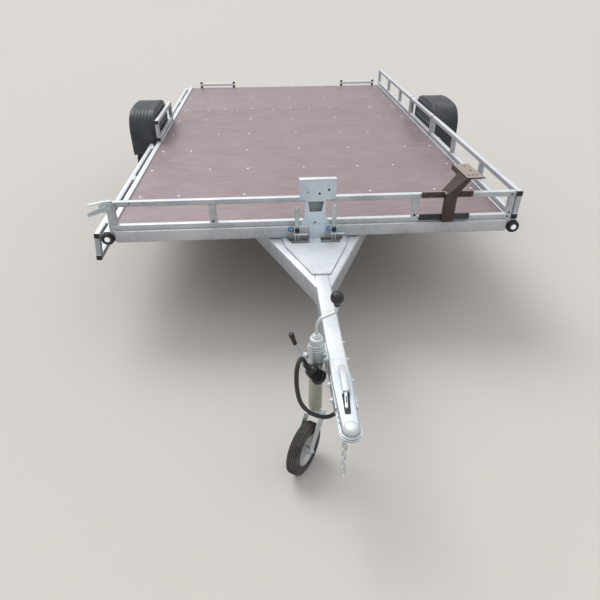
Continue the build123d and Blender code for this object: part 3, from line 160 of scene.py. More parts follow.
cable_rubber = grainy("cable_rubber", (0.018, 0.018, 0.019), (0.03, 0.029, 0.028), 0.42, 900.0, 0.0003)
LEAD_ROUTE = [
    (-94.0, -900.0, 470.0), (-105.7, -900.0, 485.0), (-112.0, -909.0, 513.0), (-125.0, -932.0, 545.0),
    (-139.0, -962.0, 528.0), (-141.0, -972.0, 480.0), (-137.0, -966.0, 425.0), (-127.0, -956.0, 370.0),
    (-104.0, -942.0, 318.0), (-70.0, -925.0, 273.0), (-26.0, -908.0, 243.0), (12.0, -896.0, 262.0),
    (16.0, -888.0, 312.0), (10.0, -880.0, 366.0), (10.0, -880.0, 418.0),
]
lead_line = bpy.data.curves.new("lead", "CURVE")
lead_line.dimensions = "3D"
lead_line.bevel_depth = 0.0075
lead_line.bevel_resolution = 5
lead_line.resolution_u = 10
lead_line.use_fill_caps = True
lead_spline = lead_line.splines.new("NURBS")
lead_spline.points.add(len(LEAD_ROUTE) - 1)
for point, place in zip(lead_spline.points, metres(LEAD_ROUTE)):
    point.co = (*place, 1.0)
lead_spline.order_u = 3
lead_spline.use_endpoint_u = True
lead_line.materials.append(cable_rubber)
lead = bpy.data.objects.new("lamp_lead", lead_line)
in_scene.link(lead)
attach(lead, "chassis")
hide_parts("lead")

# The floor is plain and pale, also in what shines. A wide soft lamp above stands in for a cloudy
# sky, and the world is white overhead and a little darker towards the horizon, which gives the
# zinc its shading. The soft light that the floor throws back is darker, as from worn ground.


def arithmetic(finish, operation, *values):
    """One step of arithmetic on values or sockets."""
    return node(finish, "Math", dict(enumerate(values)), operation=operation).outputs["Value"]


def mixed(finish, share, first, second, blend="MIX"):
    """The first colour where the share is 0, and the second, or with the blend MULTIPLY the
    product of both, where it is 1."""
    values = {0: share, 6: first, 7: second}
    return node(finish, "Mix", values, data_type="RGBA", blend_type=blend).outputs[2]


floor_mesh = bpy.data.meshes.new("floor")
floor_mesh.from_pydata([(-40, -40, 0), (40, -40, 0), (40, 40, 0), (-40, 40, 0)], [], [(0, 1, 2, 3)])
floor = bpy.data.objects.new("floor", floor_mesh)
in_scene.link(floor)
floor_seen, floor_thrown = (0.60, 0.57, 0.53), (0.36, 0.335, 0.31)
floor_paint = new_finish("floor_paint", floor_seen, 0.9)
ray = node(floor_paint, "LightPath").outputs
seen = arithmetic(floor_paint, "MAXIMUM", ray["Is Camera Ray"], ray["Is Glossy Ray"])
seen = arithmetic(floor_paint, "MAXIMUM", seen, ray["Is Transmission Ray"])
floor_tint = mixed(floor_paint, seen, (*floor_thrown, 1.0), (*floor_seen, 1.0))
coat(floor_paint, {"Base Color": floor_tint})
floor_mesh.materials.append(floor_paint)

sky = bpy.data.worlds.new("sky")
bpy.context.scene.world = sky
sky.use_nodes = True
sky_place = sky.node_tree.nodes.new("ShaderNodeTexCoord").outputs["Generated"]
sky_height = node(sky, "SeparateXYZ", {"Vector": sky_place}).outputs["Z"]
sky_tint = shaded(sky, sky_height, (0.0, (0.46, 0.47, 0.49)), (0.7, (0.97, 0.98, 1.0)))
fed(sky, sky.node_tree.nodes["Background"], {"Color": sky_tint, "Strength": 0.92})

lamp = bpy.data.lights.new("soft_sky_lamp", "SUN")
lamp.energy = 1.3
lamp.angle = math.radians(35.0)
lamp_stand = bpy.data.objects.new("soft_sky_lamp", lamp)
lamp_stand.rotation_euler = (math.radians(-28.0), math.radians(-24.0), 0.0)
in_scene.link(lamp_stand)

# The middle beam of the drawbar is a closed steel tube, 60 by 80 mm, hot dip galvanised. It runs
# from inside the coupler to just behind the bed's front beam, where its end stands open.
BEAM_Z = 458.0
BEAM_FRONT_Y = -1010.0
UP = np.array((0.0, 0.0, 1.0))


def rounded(width, height, radius, steps=3):
    """A rounded rectangle about the middle: each corner is a quarter circle of steps + 1 points,
    and the corners follow counterclockwise."""
    turn = np.linspace(0.0, math.pi / 2, steps + 1)[None, :] + (np.arange(4)[:, None] - 1) * math.pi / 2
    corners = np.array([(1, -1), (1, 1), (-1, 1), (-1, -1)]) * (width / 2 - radius, height / 2 - radius)
    return (corners[:, None, :] + radius * np.stack([np.cos(turn), np.sin(turn)], -1)).reshape(-1, 2)


def skin(rings, loop=False):
    """Rings of points joined each to the next by quads. The first and last ring are filled with
    one flat face each, or in a loop they are joined to each other."""
    rings = np.asarray(rings, float)
    rows, count = rings.shape[:2]
    index = np.arange(rows * count).reshape(rows, count)
    this, following = (index, np.roll(index, -1, 0)) if loop else (index[:-1], index[1:])
    quads = np.stack([this, np.roll(this, -1, 1), np.roll(following, -1, 1), following], -1)
    ends = [] if loop else [index[0][::-1].tolist(), index[-1].tolist()]
    return rings.reshape(-1, 3), quads.reshape(-1, 4).tolist() + ends


def axes(start, end, up=None):
    """The start, the run, the length of the run, and the two directions square to the run: the
    side is up cross run, so an outline goes round the run counterclockwise. Where up isn't given,
    it is the sky, or for an upright run the way to the rear."""
    start, end = np.asarray(start, float), np.asarray(end, float)
    length = np.linalg.norm(end - start)
    run = (end - start) / length
    if up is None:
        up = UP if abs(run[2]) < 0.9 else (0, 1, 0)
    up = np.asarray(up, float) - run * np.dot(up, run)
    up = up / np.linalg.norm(up)
    return start, run, length, np.cross(up, run), up


def across_run(start, end, up, stations):
    """Rings across a run. A station is a share of the run's length, a way added to it, and an
    outline, whose two numbers go along side and up."""
    start, run, length, side, up = axes(start, end, up)
    return [start + run * (share * length + way) + outline[:, :1] * side + outline[:, 1:] * up
            for share, way, outline in stations]


def carried(outline, start, end, edge=0.8, up=None):
    """A closed bar: the outline carried from start to end, with its end edges bevelled."""
    middle = outline.mean(0)
    drawn_in = middle + (outline - middle) * (1.0 - edge / np.abs(outline - middle).max())
    stations = [(0, 0.0, drawn_in), (0, edge, outline), (1, -edge, outline), (1, 0.0, drawn_in)]
    return skin(across_run(start, end, up, stations))


def bar(width, height, radius, start, end, edge=0.8, up=None):
    """A bar whose outline is a rounded rectangle."""
    return carried(rounded(width, height, radius), start, end, edge, up)


def piece(name, body, shells, finish, nodes=(), crease=35.0, wall=0.0):
    """One object from shells in millimetres: points and faces follow each other in one mesh,
    faces are turned outwards, and edges sharper than the crease stay sharp. A sheet with a wall
    has its doubled points merged, and Solidify gives it that thickness, half to each side."""
    points = np.concatenate([points for points, faces in shells])
    starts = np.cumsum([0] + [len(points) for points, faces in shells]).tolist()
    faces = [[k + first for k in face] for (_, shell), first in zip(shells, starts) for face in shell]
    mesh = bpy.data.meshes.new(name)
    mesh.from_pydata(metres(points).tolist(), [], faces)
    turner = bmesh.new()
    turner.from_mesh(mesh)
    bmesh.ops.recalc_face_normals(turner, faces=turner.faces)
    if wall:
        bmesh.ops.remove_doubles(turner, verts=turner.verts, dist=0.00008)
        bmesh.ops.recalc_face_normals(turner, faces=turner.faces)
    turner.to_mesh(mesh)
    turner.free()
    mesh.polygons.foreach_set("use_smooth", np.ones(len(mesh.polygons), bool))
    mesh.set_sharp_from_angle(angle=math.radians(crease))
    mesh.materials.append(finish)
    made = bpy.data.objects.new(name, mesh)
    if wall:
        sheet = made.modifiers.new("wall", "SOLIDIFY")
        sheet.thickness = wall / 1000.0
        sheet.offset = 0.0
    in_scene.link(made)
    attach(made, body)
    if nodes:
        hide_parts(*nodes)


def galvanised(name, bright, dull, scale, upright=0.62):
    """Hot dip zinc: clouds 200 mm wide go from bright to dull, and over them cells, so many to
    a metre, each a little of its own grey and gloss, with faint ridges between the cells.
    On upright faces the colour is the upright share of what it is on those that face up: a
    painted shade that darkens the sides against the lit tops."""
    finish = new_finish(name, bright, 0.42, 0.55)
    place = node(finish, "TexCoord").outputs
    waves = {"Vector": place["Object"], "Scale": 60.0, "Detail": 1.0}
    wavy = node(finish, "TexNoise", waves).outputs["Color"]
    bend = {"Factor": 0.012, 4: place["Object"], 5: wavy}
    bent_place = {"Vector": node(finish, "Mix", bend, data_type="VECTOR").outputs[1], "Scale": scale}
    cells = node(finish, "TexVoronoi", bent_place).outputs["Color"]
    edges = node(finish, "TexVoronoi", bent_place, feature="DISTANCE_TO_EDGE").outputs["Distance"]
    lot = node(finish, "SeparateColor", {"Color": cells}).outputs["Red"]
    blend = arithmetic(finish, "MULTIPLY_ADD", lot, 0.13, noise(finish, place["Object"], 5.0, 6.0, 0.6))
    middle = tuple((a + b) / 2 for a, b in zip(bright, dull))
    tint = shaded(finish, blend, (0.42, dull), (0.55, middle), (0.72, bright))
    # Painted shade: upright faces take the upright share of the colour, and only the tops keep all of it.
    shaded_upright_tint = mixed(finish, 1.0, tint, (upright, upright * 1.02, upright * 1.05, 1.0), "MULTIPLY")
    height = node(finish, "SeparateXYZ", {"Vector": place["Normal"]}).outputs["Z"]
    lit_top_share = mapped(finish, height, 0.0, 1.0, (0.05, 0.85))
    coat(finish, {"Base Color": mixed(finish, lit_top_share, shaded_upright_tint, tint),
                  "Roughness": mapped(finish, blend, 0.56, 0.36, (0.4, 0.75))})
    bumped(finish, mapped(finish, edges, 0.0, 1.0, (0.0, 0.12)), 0.00015, 0.3)
    return finish


zinc_coat = galvanised("zinc_coat", (0.91, 0.935, 0.955), (0.68, 0.715, 0.745), 120.0)
tube_outline, tube_wall, half_size = rounded(60, 80, 7), 3.0, np.array((30.0, 40.0))
bore = tube_outline * (half_size - tube_wall) / half_size
tube_rings = across_run((0, BEAM_FRONT_Y, BEAM_Z), (0, 60, BEAM_Z), None,
                        [(0, 0.0, tube_outline), (1, 0.0, tube_outline), (1, 0.0, bore), (0, 0.0, bore)])
beam_tube = skin(tube_rings, loop=True)
piece("drawbar_beam_tube", "chassis", [beam_tube], zinc_coat, ["drawbar_beam"])

# The two legs of the drawbar are tubes of 57 by 80 mm, cut slantwise to the beam's side in front
# and to the side bar behind. The side bars carry the axle and the pivot pins of the bed.
spread = math.radians(22.8)
leg_way = np.array((math.sin(spread), math.cos(spread), 0.0))
leg_side = np.array((math.cos(spread), -math.sin(spread), 0.0))


def slanted_leg(hand):
    """A tube along the leg's direction, cut by the planes x = 29 and x = 896: each point of the
    outline runs along the leg until its x is the plane's. The hand mirrors it."""
    outline = rounded(57.0, 80.0, 6.0)
    base = np.array((215.0, -14.0, BEAM_Z)) - leg_side * 28.5
    points = base + outline[:, :1] * leg_side + outline[:, 1:] * UP
    rings = [points + leg_way * ((x - points[:, :1]) / leg_way[0]) for x in (29.0, 896.0)]
    return skin(np.array(rings) * (hand, 1.0, 1.0))


def round_ended(y0, y1, z, half, steps=12):
    """A side view that is straight in front and ends in a half circle behind."""
    turn = np.linspace(-math.pi / 2, math.pi / 2, steps + 1)
    nose = np.stack([y1 + half * np.cos(turn), z + half * np.sin(turn)], -1)
    return np.concatenate([[(y0, z - half)], nose, [(y0, z + half)]])


def full_turn(steps):
    """The angles of a full turn in equal steps."""
    return np.linspace(0.0, 2 * math.pi, steps, endpoint=False)


def spun(profile, centre, axis=(0, 0, 1), steps=32, loop=False):
    """A turned piece: each profile point is a radius and a way along the axis, and becomes a
    ring. Flat faces close both ends, or in a loop the last ring is joined to the first."""
    axis = np.asarray(axis, float) / np.linalg.norm(axis)
    first = np.cross(UP if abs(axis[2]) < 0.9 else (1.0, 0.0, 0.0), axis)
    first /= np.linalg.norm(first)
    second = np.cross(axis, first)
    turn = full_turn(steps)[None, :, None]
    profile = np.asarray(profile, float)[:, None, :]
    return skin(np.asarray(centre, float) + profile[..., 1:] * axis
                + profile[..., :1] * (np.cos(turn) * first + np.sin(turn) * second), loop)


def hex_bolt(centre, axis, size, nut=0.0):
    """A bolt head on its washer. The head is a ring of 24 points on a hexagon, whose top edge is
    cut back to a circle; nut is how far a threaded end stands out of it."""
    centre = np.asarray(centre, float)
    turn = full_turn(24)
    across = size * 0.87
    hexagon = across / np.cos((turn + math.pi / 6) % (math.pi / 3) - math.pi / 6)
    rows = [(np.full(24, across * 0.98), size * 0.72), (np.minimum(hexagon, across * 1.1), size * 0.62),
            (hexagon, size * 0.5), (hexagon, 2.0)]
    circle = np.stack([np.cos(turn), np.sin(turn)], -1)
    stations = [(0, way, radius[:, None] * circle) for radius, way in rows]
    made = [skin(across_run(centre, centre + axis, (0.3, 0.5, 0.8), stations)),
            spun([(size * 1.25, -0.3), (size * 1.25, 1.6), (size * 1.15, 2.0)], centre, axis, 24)]
    if nut:
        thread = [(size * 0.5, 0.0), (size * 0.5, size * 0.7 + nut), (size * 0.4, size * 0.75 + nut)]
        made.append(spun(thread, centre, axis, 16))
    return made


def bolts(places, axis, size, nut=0.0):
    """Like bolts at several places, all facing one way."""
    return [shell for place in places for shell in hex_bolt(place, axis, size, nut)]


PIVOT_Y = 1830.0
leg_shells = []
for hand in (-1, 1):
    side_bar = round_ended(1470, PIVOT_Y, BEAM_Z, 40)
    leg_shells += [slanted_leg(hand), carried(side_bar, (hand * 915 - 20, 0, 0), (hand * 915 + 20, 0, 0), 2),
                   spun([(7.0, -28), (8.0, -27), (8.0, 22)], (hand * 874, PIVOT_Y, BEAM_Z), (hand, 0, 0), 24)]
    leg_shells += hex_bolt((hand * 935, PIVOT_Y, BEAM_Z), (hand, 0, 0), 13)
piece("drawbar_leg_tubes", "chassis", leg_shells, zinc_coat, ["drawbar_legs"])

# The gusset plate ties the legs to the middle beam and is welded all round. Its two windows let
# the bails of the bed's latches through to their catches.


def bead(start, end, radius, across, pitch=4.0):
    """A weld bead: six-sided rings along a line, whose radius swells and narrows with each laid
    drop, by the sine of the way over the pitch, and shrinks at both ends."""
    start, run, length, side, up = axes(start, end, across)
    way = np.linspace(0.0, length, max(3, int(length / pitch * 3)))[:, None, None]
    turn = full_turn(6)[None, :, None]
    swell = radius * (0.86 + 0.2 * np.abs(np.sin(math.pi * way / pitch)))
    swell = swell * np.clip(np.minimum(way, length - way) / radius, 0.35, 1.0)
    return skin(start + run * way + swell * (np.cos(turn) * side + np.sin(turn) * up))


def refinished(finish, *names):
    """Gives a finish to CAD nodes that stay as they are."""
    for name in names:
        frame["nodes"][name].data.materials.clear()
        frame["nodes"][name].data.materials.append(finish)


gusset_edge = [(x, y, 498) for x, y in
               ((-155, -5), (-141, -97), (-37, -355), (37, -355), (141, -97), (155, -5))]
bare_weld = galvanised("zinc_over_weld", (0.78, 0.79, 0.80), (0.40, 0.41, 0.42), 260.0)
weld_shells = [bead(a, b, 3.2, UP) for a, b in zip(gusset_edge, gusset_edge[1:] + gusset_edge[:1])]
for hand in (-1, 1):
    outwards = (hand, 0, 0)
    weld_shells += [bead((hand * 29.5, -430, 497), (hand * 29.5, -455, 421), 3.5, outwards),
                    bead((hand * 31, -452, 419), (hand * 31, -330, 419), 3.5, outwards),
                    bead((hand * 894.5, 1471, 497), (hand * 894.5, 1600, 497), 3.5, UP)]
    weld_shells += [bead((hand * 60, y, 499), (hand * 90, y, 499), 2.2, UP) for y in (-112, 22)]
piece("drawbar_welds", "chassis", weld_shells, bare_weld)
refinished(zinc_coat, "gusset_plate", "latch_catches", "mudguard_brackets", "tilt_lugs", "cross_members",
           "rear_beam")

# Rest pads of black rubber, 40 mm square, sit on the legs and take the bed's weight while it is
# latched.
pad_rubber = grainy("pad_rubber", (0.022, 0.022, 0.022), (0.06, 0.058, 0.055), 0.6, 700.0, 0.0004)
pad_shells = [bar(40, 40, 4, (x, 20, 498), (x, 20, 504.7), 1.2) for x in (-185, 185)]
piece("bed_rest_pads", "chassis", pad_shells, pad_rubber, ["bed_rests"])

# The axle is a square tube of 70 mm with the rubber springs inside. It is bolted through two
# brackets under the side bars. A forged arm at each end trails back to the stub axle.
AXLE_Y, AXLE_Z = 1560.0, 375.0
WHEEL_X, WHEEL_Y, WHEEL_Z = 1067.5, 1710.0, 289.0
axle_shells = [bar(70, 70, 9, (-944, AXLE_Y, AXLE_Z), (944, AXLE_Y, AXLE_Z), 3)]
for hand in (-1, 1):
    axle_shells.append(bar(100, 9, 2, (hand * 886, AXLE_Y, 413.5), (hand * 944, AXLE_Y, 413.5), 1.5))
    axle_shells += bolts([(hand * 903, y, 409.5) for y in (1518, 1602)], (0, 0, -1), 10, 4)
    axle_shells += [bead((hand * 888, y, 409), (hand * 942, y, 409), 3.5, UP)
                    for y in (AXLE_Y - 35.7, AXLE_Y + 35.7)]
    for out in (-1, 1):
        plug_place = (hand * 800, AXLE_Y + out * 35, AXLE_Z)
        axle_shells.append(spun([(5, -0.5), (5, 2.0), (4, 3.0)], plug_place, (0, out, 0), 16))
piece("axle_tube", "chassis", axle_shells, zinc_coat, ["axle_beam"])

forged_steel = galvanised("zinc_on_forging", (0.66, 0.67, 0.68), (0.40, 0.41, 0.42), 320.0)


def belted(big, big_radius, small, small_radius, steps=16):
    """The outline round two circles: an arc on each, from one common tangent to the other. The
    tangent leans off square by the arcsine of the radii's difference over the distance."""
    reach = math.hypot(small[0] - big[0], small[1] - big[1])
    lean = math.atan2(small[1] - big[1], small[0] - big[0])
    half = math.acos((big_radius - small_radius) / reach)
    far = lean + np.linspace(-half, half, steps)
    near = lean + np.linspace(half, 2 * math.pi - half, steps)
    tip = np.array(small, float) + small_radius * np.stack([np.cos(far), np.sin(far)], -1)
    root = np.array(big, float) + big_radius * np.stack([np.cos(near), np.sin(near)], -1)
    return np.concatenate([tip, root])


arm_shells = []
arm_side = belted((AXLE_Y, AXLE_Z), 38, (WHEEL_Y, WHEEL_Z), 30)
for hand in (-1, 1):
    arm_x = hand * 957.5
    arm_shells += [carried(arm_side, (arm_x - 12.5, 0, 0), (arm_x + 12.5, 0, 0), 4),
                   spun([(30, 0), (30, 3), (27, 5)], (hand * 970, AXLE_Y, AXLE_Z), (hand, 0, 0)),
                   spun([(17.5, -2), (17.5, 127), (15, 129)], (hand * 968, WHEEL_Y, WHEEL_Z), (hand, 0, 0))]
piece("trailing_arm_forgings", "chassis", arm_shells, forged_steel, ["trailing_arms"])

# Each hub is a casting with a flange for the rim, closed by a domed grease cap. It turns on the
# stub axle of its trailing arm.
cast_iron = grainy("cast_iron", (0.13, 0.13, 0.135), (0.22, 0.215, 0.21), 0.55, 500.0, 0.0005)
hub_profile = [(18, 0), (43, 0), (45, 2), (45, 98), (49, 101), (70, 104), (72, 105.5), (72, 112), (27, 112.2),
               (27, 132), (25.5, 136.5), (21, 139.5), (12, 141), (1, 141.3)]
for side, hand in (("left", -1), ("right", 1)):
    hub = [spun(hub_profile, (hand * 985, WHEEL_Y, WHEEL_Z), (hand, 0, 0), 48)]
    piece(f"hub_{side}_casting", f"wheel_{side}", hub, cast_iron, [f"hub_{side}"])

# The steel rims are silver painted: a rolled barrel, and a pressed disc with a ring of round
# vent holes, held to the hub by five bolts. The valve stands out between a hole and the barrel.


def vented_ring(count, low, high, hole, face, steps=8):
    """A ring of sheet with round holes. In each sector, rings of points go from the hole's circle
    out to the sector's four-sided border; face gives how far out the sheet lies at a radius."""
    half = math.pi / count
    middle = (low + high) / 2
    along = np.linspace(-1.0, 1.0, steps, endpoint=False)
    ones = np.ones(steps)
    sides = ((along, -ones), (ones, along), (-along, ones), (-ones, -along))
    border = np.concatenate([np.stack(pair, -1) for pair in sides])
    turn = np.arctan2(border[:, 1], border[:, 0])
    border_radius = middle + border[:, 1] * (high - low) / 2
    lean = border[:, 0] * half
    border_points = np.stack([border_radius * np.sin(lean), border_radius * np.cos(lean)], -1)
    circle = np.stack([hole * np.cos(turn), middle + hole * np.sin(turn)], -1)
    share = np.array([0.0, 0.12, 0.45, 1.0])[:, None, None]
    flat = circle + (border_points - circle) * share
    spin = 2 * half * np.arange(count)[:, None, None, None]
    across = flat[None, ..., :1] * np.cos(spin) + flat[None, ..., 1:] * np.sin(spin)
    upright = -flat[None, ..., :1] * np.sin(spin) + flat[None, ..., 1:] * np.cos(spin)
    return np.concatenate([face(np.hypot(across, upright)), across, upright], -1)


def open_grid(rings):
    """Open rings of points joined by quads, with no end faces."""
    points, faces = skin(rings)
    return points, faces[:-2]


def disc_face(radius):
    """How far outward the disc lies from the rim's middle: flat on the hub, then a raised round
    crown, then falling back to the barrel."""
    radii = [26, 70, 82, 94, 104, 112, 136, 152, 160]
    return np.interp(radius, radii, [31.8, 31.8, 36, 42, 44, 43, 28, 18, 17])


silver_paint = grainy("silver_paint", (0.56, 0.57, 0.59), (0.47, 0.46, 0.44), 0.38, 1500.0, 0.00008)
coat(silver_paint, {"Metallic": 0.45})
bolt_zinc = galvanised("bolt_zinc", (0.90, 0.93, 0.94), (0.68, 0.72, 0.73), 500.0, 0.82)
HOLES_FROM, HOLES_TO = 110.0, 150.0
barrel = np.array([(176, -64), (177, -62), (170, -60.5), (164.5, -60), (163, -56), (160.5, -34), (148, -26),
                   (148, 6), (160.5, 18), (163, 56), (164.5, 60), (170, 60.5), (177, 62), (176, 64),
                   (160.5, 63), (159, 20), (144.5, 8), (144.5, -29), (157, -38), (159, -63)])[:, None, :]
spin = full_turn(96)[None, :, None]
for side, hand in (("left", -1), ("right", 1)):
    centre = np.array((hand * WHEEL_X, WHEEL_Y, WHEEL_Z))
    mirror_out = np.array((hand, 1.0, 1.0))
    disc = [open_grid(sector * mirror_out + centre)
            for sector in vented_ring(12, HOLES_FROM, HOLES_TO, 12.5, disc_face)]
    for span in ((28.0, 70.0, 82.0, 94.0, 104.0, HOLES_FROM), (HOLES_TO, 156.0, 160.0)):
        radius = np.array(span)[:, None, None]
        rings = [disc_face(radius) + 0 * spin, radius * np.sin(spin), radius * np.cos(spin)]
        disc.append(open_grid(np.concatenate(rings, -1) * mirror_out + centre))
    piece(f"rim_{side}_disc", f"wheel_{side}", disc, silver_paint, wall=3.5)
    rolled = [barrel[..., 1:] + 0 * spin, barrel[..., :1] * np.sin(spin), barrel[..., :1] * np.cos(spin)]
    barrel_shell = skin(np.concatenate(rolled, -1) * mirror_out + centre, loop=True)
    piece(f"rim_{side}_barrel", f"wheel_{side}", [barrel_shell], silver_paint, [f"rim_{side}"])
    places = [centre + (hand * 36.0, 50.0 * math.sin(turn), 50.0 * math.cos(turn)) for turn in full_turn(5)]
    valve = spun([(2.2, 0), (2.2, 22), (3.6, 23), (3.6, 33), (2.6, 34)], centre + (hand * 18, 0, 157),
                 (hand, 0, -0.25), 12)
    wheel_bolts = bolts(places, (hand, 0, 0), 11) + [valve]
    piece(f"wheel_{side}_bolts", f"wheel_{side}", wheel_bolts, bolt_zinc)

# The tyres are road tyres: three straight grooves round the tread, slanted cuts in the
# shoulders, and fine ribs round the plain side walls.


def tyre_skin(centre, pitches=50):
    """The section's radius and place across, turned round the wheel in pitches of ten columns.
    The radius is less by 7 mm in the grooves, by 5 mm where a column of a shoulder's cut meets a
    shoulder's row, and by 4 mm where a sipe's column meets a rib's row. Cuts lean as they go out."""
    wall = np.array([(165, 56), (166, 62.5), (178, 65.4), (181, 69.5), (190, 73), (205, 75.2), (206.5, 76.3),
                     (211, 76.4), (212.5, 75.6), (238, 77.2), (254, 76.3), (267, 73.8), (268.5, 74.4),
                     (274, 72.6), (281, 67.6)])
    tread_across = np.array([64.5, 60, 52, 44, 36.5, 31, 30.3, 22.3, 21.6, 13, 4.6, 3.9])
    tread_radius = WHEEL_Z - 5.5 * np.clip((tread_across - 40) / 24.5, 0, None) ** 2.4
    half = np.concatenate([wall, np.stack([tread_radius, tread_across], -1)])
    on_tread = half[:, 0] > 273
    groove = np.isin(half[:, 1], (30.3, 22.3, 3.9)) * 7.0
    shoulder = np.clip((half[:, 1] - 32) / 4, 0, 1) * on_tread
    rib = (half[:, 1] <= 21.6) & (half[:, 1] >= 4.6)
    section = np.concatenate([half, half[::-1] * (1.0, -1.0)])
    groove, shoulder, rib, on_tread = (np.concatenate([part, part[::-1]])[:, None]
                                       for part in (groove, shoulder, rib, on_tread))
    column = np.array([0.0, 0.05, 0.08, 0.19, 0.22, 0.5, 0.52, 0.56, 0.58, 0.8])
    cut = np.tile(np.isin(column, (0.08, 0.19)) * 5.0, pitches)
    sipe = np.tile(np.isin(column, (0.52, 0.56)) * 4.0, pitches)
    turn = (np.arange(pitches)[:, None] + column).ravel() / pitches * 2 * math.pi
    radius = section[:, :1] - np.minimum(groove + shoulder * cut + rib * sipe, 7.0)
    lean = turn[None, :] + 0.0011 * np.abs(section[:, 1:]) * on_tread
    across = np.broadcast_to(section[:, 1:], radius.shape)
    return skin(np.stack([across, radius * np.sin(lean), radius * np.cos(lean)], -1) + centre, loop=True)


tyre_rubber = grainy("tyre_rubber", (0.021, 0.021, 0.022), (0.05, 0.047, 0.043), 0.62, 1100.0, 0.0003)
for side, hand in (("left", -1), ("right", 1)):
    tyre = [tyre_skin(np.array((hand * WHEEL_X, WHEEL_Y, WHEEL_Z)))]
    piece(f"tyre_{side}_treaded", f"wheel_{side}", tyre, tyre_rubber, [f"tyre_{side}"], 28.0)

# The mudguards are pressed from one sheet of black plastic: a crown that turns down to a lip
# outside, with five long grooves that stiffen it, and a flat plate inside towards the bed.
GUARD_FOOT_Z = 461.0


def guard_arch(count):
    """The guard's side view from its front foot to its rear foot, as y and z from the wheel's
    middle and the ground, evenly spaced: an upright of 267 mm out, a corner of 140 mm radius,
    a crown of 1200 mm radius, and the same again; the direction that faces outwards; and each
    point's share of the way."""
    corner_radius, crown_radius, corner_y = 140.0, 1200.0, 127.0
    crown_z = 750.0 - crown_radius
    corner_z = crown_z + math.sqrt((crown_radius - corner_radius) ** 2 - corner_y ** 2)
    top = math.atan2(corner_z - crown_z, corner_y)
    lengths = np.array([corner_z - GUARD_FOOT_Z, corner_radius * top, crown_radius * (math.pi / 2 - top)])
    stops = np.concatenate([[0.0], np.cumsum(np.concatenate([lengths, lengths[::-1]]))])
    way = np.linspace(0.0, stops[-1], count)
    mirrored = np.where(way > stops[3], stops[-1] - way, way)
    up = np.clip(mirrored, 0.0, stops[1])
    corner = np.clip((mirrored - stops[1]) / corner_radius, 0.0, top)
    crown = np.clip((mirrored - stops[2]) / crown_radius, 0.0, math.pi / 2 - top)
    out = np.cos(corner + crown), np.sin(corner + crown)
    on_crown = mirrored > stops[2]
    y = np.where(on_crown, crown_radius * out[0], corner_y + corner_radius * out[0])
    below = corner_z + corner_radius * out[1] - (stops[1] - up)
    z = np.where(on_crown, crown_z + crown_radius * out[1], below)
    sign = np.where(way > stops[3], 1.0, -1.0)
    return np.stack([sign * y, z], -1), np.stack([sign * out[0], out[1]], -1), way / stops[-1]


def guard_crown(line, outward, share, hand):
    """The crown's grid: across, a rounded inner edge, the top with five cosine grooves 2.4 mm
    deep that fade towards both feet, a rounded outer edge and a lip turned 14 mm inwards."""
    turn = np.linspace(0.0, math.pi / 2, 5)
    inner_edge = np.stack([1.4 + 8.0 * (1 - np.cos(turn)), -1.4 - 8.0 * (1 - np.sin(turn))], -1)
    top = np.linspace(11.0, 160.0, 76)
    outer_edge = np.stack([161.6 + 12.0 * np.sin(turn), -1.4 - 12.0 * (1 - np.cos(turn))], -1)
    lip = np.array([(173.6, -14.5), (172.4, -16.2)])
    across = np.concatenate([inner_edge, np.stack([top, 0 * top - 1.4], -1), outer_edge, lip])
    place = (across[:, 0] - 35.0) / 22.0
    in_grooves = (place > 0) & (place < 5) & (across[:, 1] > -1.41)
    groove = np.where(in_grooves, 0.5 - 0.5 * np.cos(2 * math.pi * place), 0.0) ** 1.5
    fade = np.clip((share - 0.2) / 0.05, 0, 1) * np.clip((0.8 - share) / 0.05, 0, 1)
    rise = across[None, :, 1] - 2.4 * groove[None, :] * fade[:, None]
    x = np.broadcast_to(980.0 + across[None, :, 0], rise.shape) * hand
    y = WHEEL_Y + line[:, None, 0] + outward[:, None, 0] * rise
    z = line[:, None, 1] + outward[:, None, 1] * rise
    return np.stack([x, y, z], -1)


def grid_skin(points):
    """An open sheet: rows and columns of points joined by quads."""
    rows, columns = points.shape[:2]
    index = np.arange(rows * columns).reshape(rows, columns)
    quads = np.stack([index[:-1, :-1], index[:-1, 1:], index[1:, 1:], index[1:, :-1]], -1)
    return points.reshape(-1, 3), quads.reshape(-1, 4).tolist()


guard_plastic = grainy("guard_plastic", (0.027, 0.032, 0.041), (0.050, 0.058, 0.072), 0.42, 1300.0, 0.00025)
guard_bolts = []
line, outward, share = guard_arch(150)
for side, hand in (("left", -1), ("right", 1)):
    crown = guard_crown(line, outward, share, hand)
    inset = line - outward * 9.4
    inner_x = np.full(len(line), hand * 981.4)
    inner_top = np.stack([inner_x, WHEEL_Y + inset[:, 0], inset[:, 1]], -1)[:, None, :]
    foot = inner_top * (1, 1, 0) + (0, 0, GUARD_FOOT_Z)
    plate = inner_top + (foot - inner_top) * np.linspace(0.0, 1.0, 12)[None, :, None]
    piece(f"mudguard_{side}", "chassis", [grid_skin(crown), grid_skin(plate)], guard_plastic,
          ["mudguards"], wall=2.8)
    guard_bolts += bolts([(hand * 958, y, 467) for y in (1520, 1540, 1815, 1845)], (0, 0, 1), 8)
    for y in (1530, 1830):
        guard_bolts += hex_bolt((hand * 979.5, y, 485), (-hand, 0, 0), 9)
        guard_bolts.append(bar(40, 5, 1.5, (hand * 977, y, 465), (hand * 977, y, 505), up=(hand, 0, 0)))
piece("mudguard_bolts", "chassis", guard_bolts, bolt_zinc)

# The ball coupler is pressed from zinc plated sheet. Its hood sits on the drawbar's end and
# narrows to a round nose with a stepped flange and a bright cap over the ball's place. Two
# cheeks reach down the beam's sides and take the cross bolts.
BALL = (0, -1186, 0)
CHAIN_X, CHAIN_Y = -2.0, -1120.0


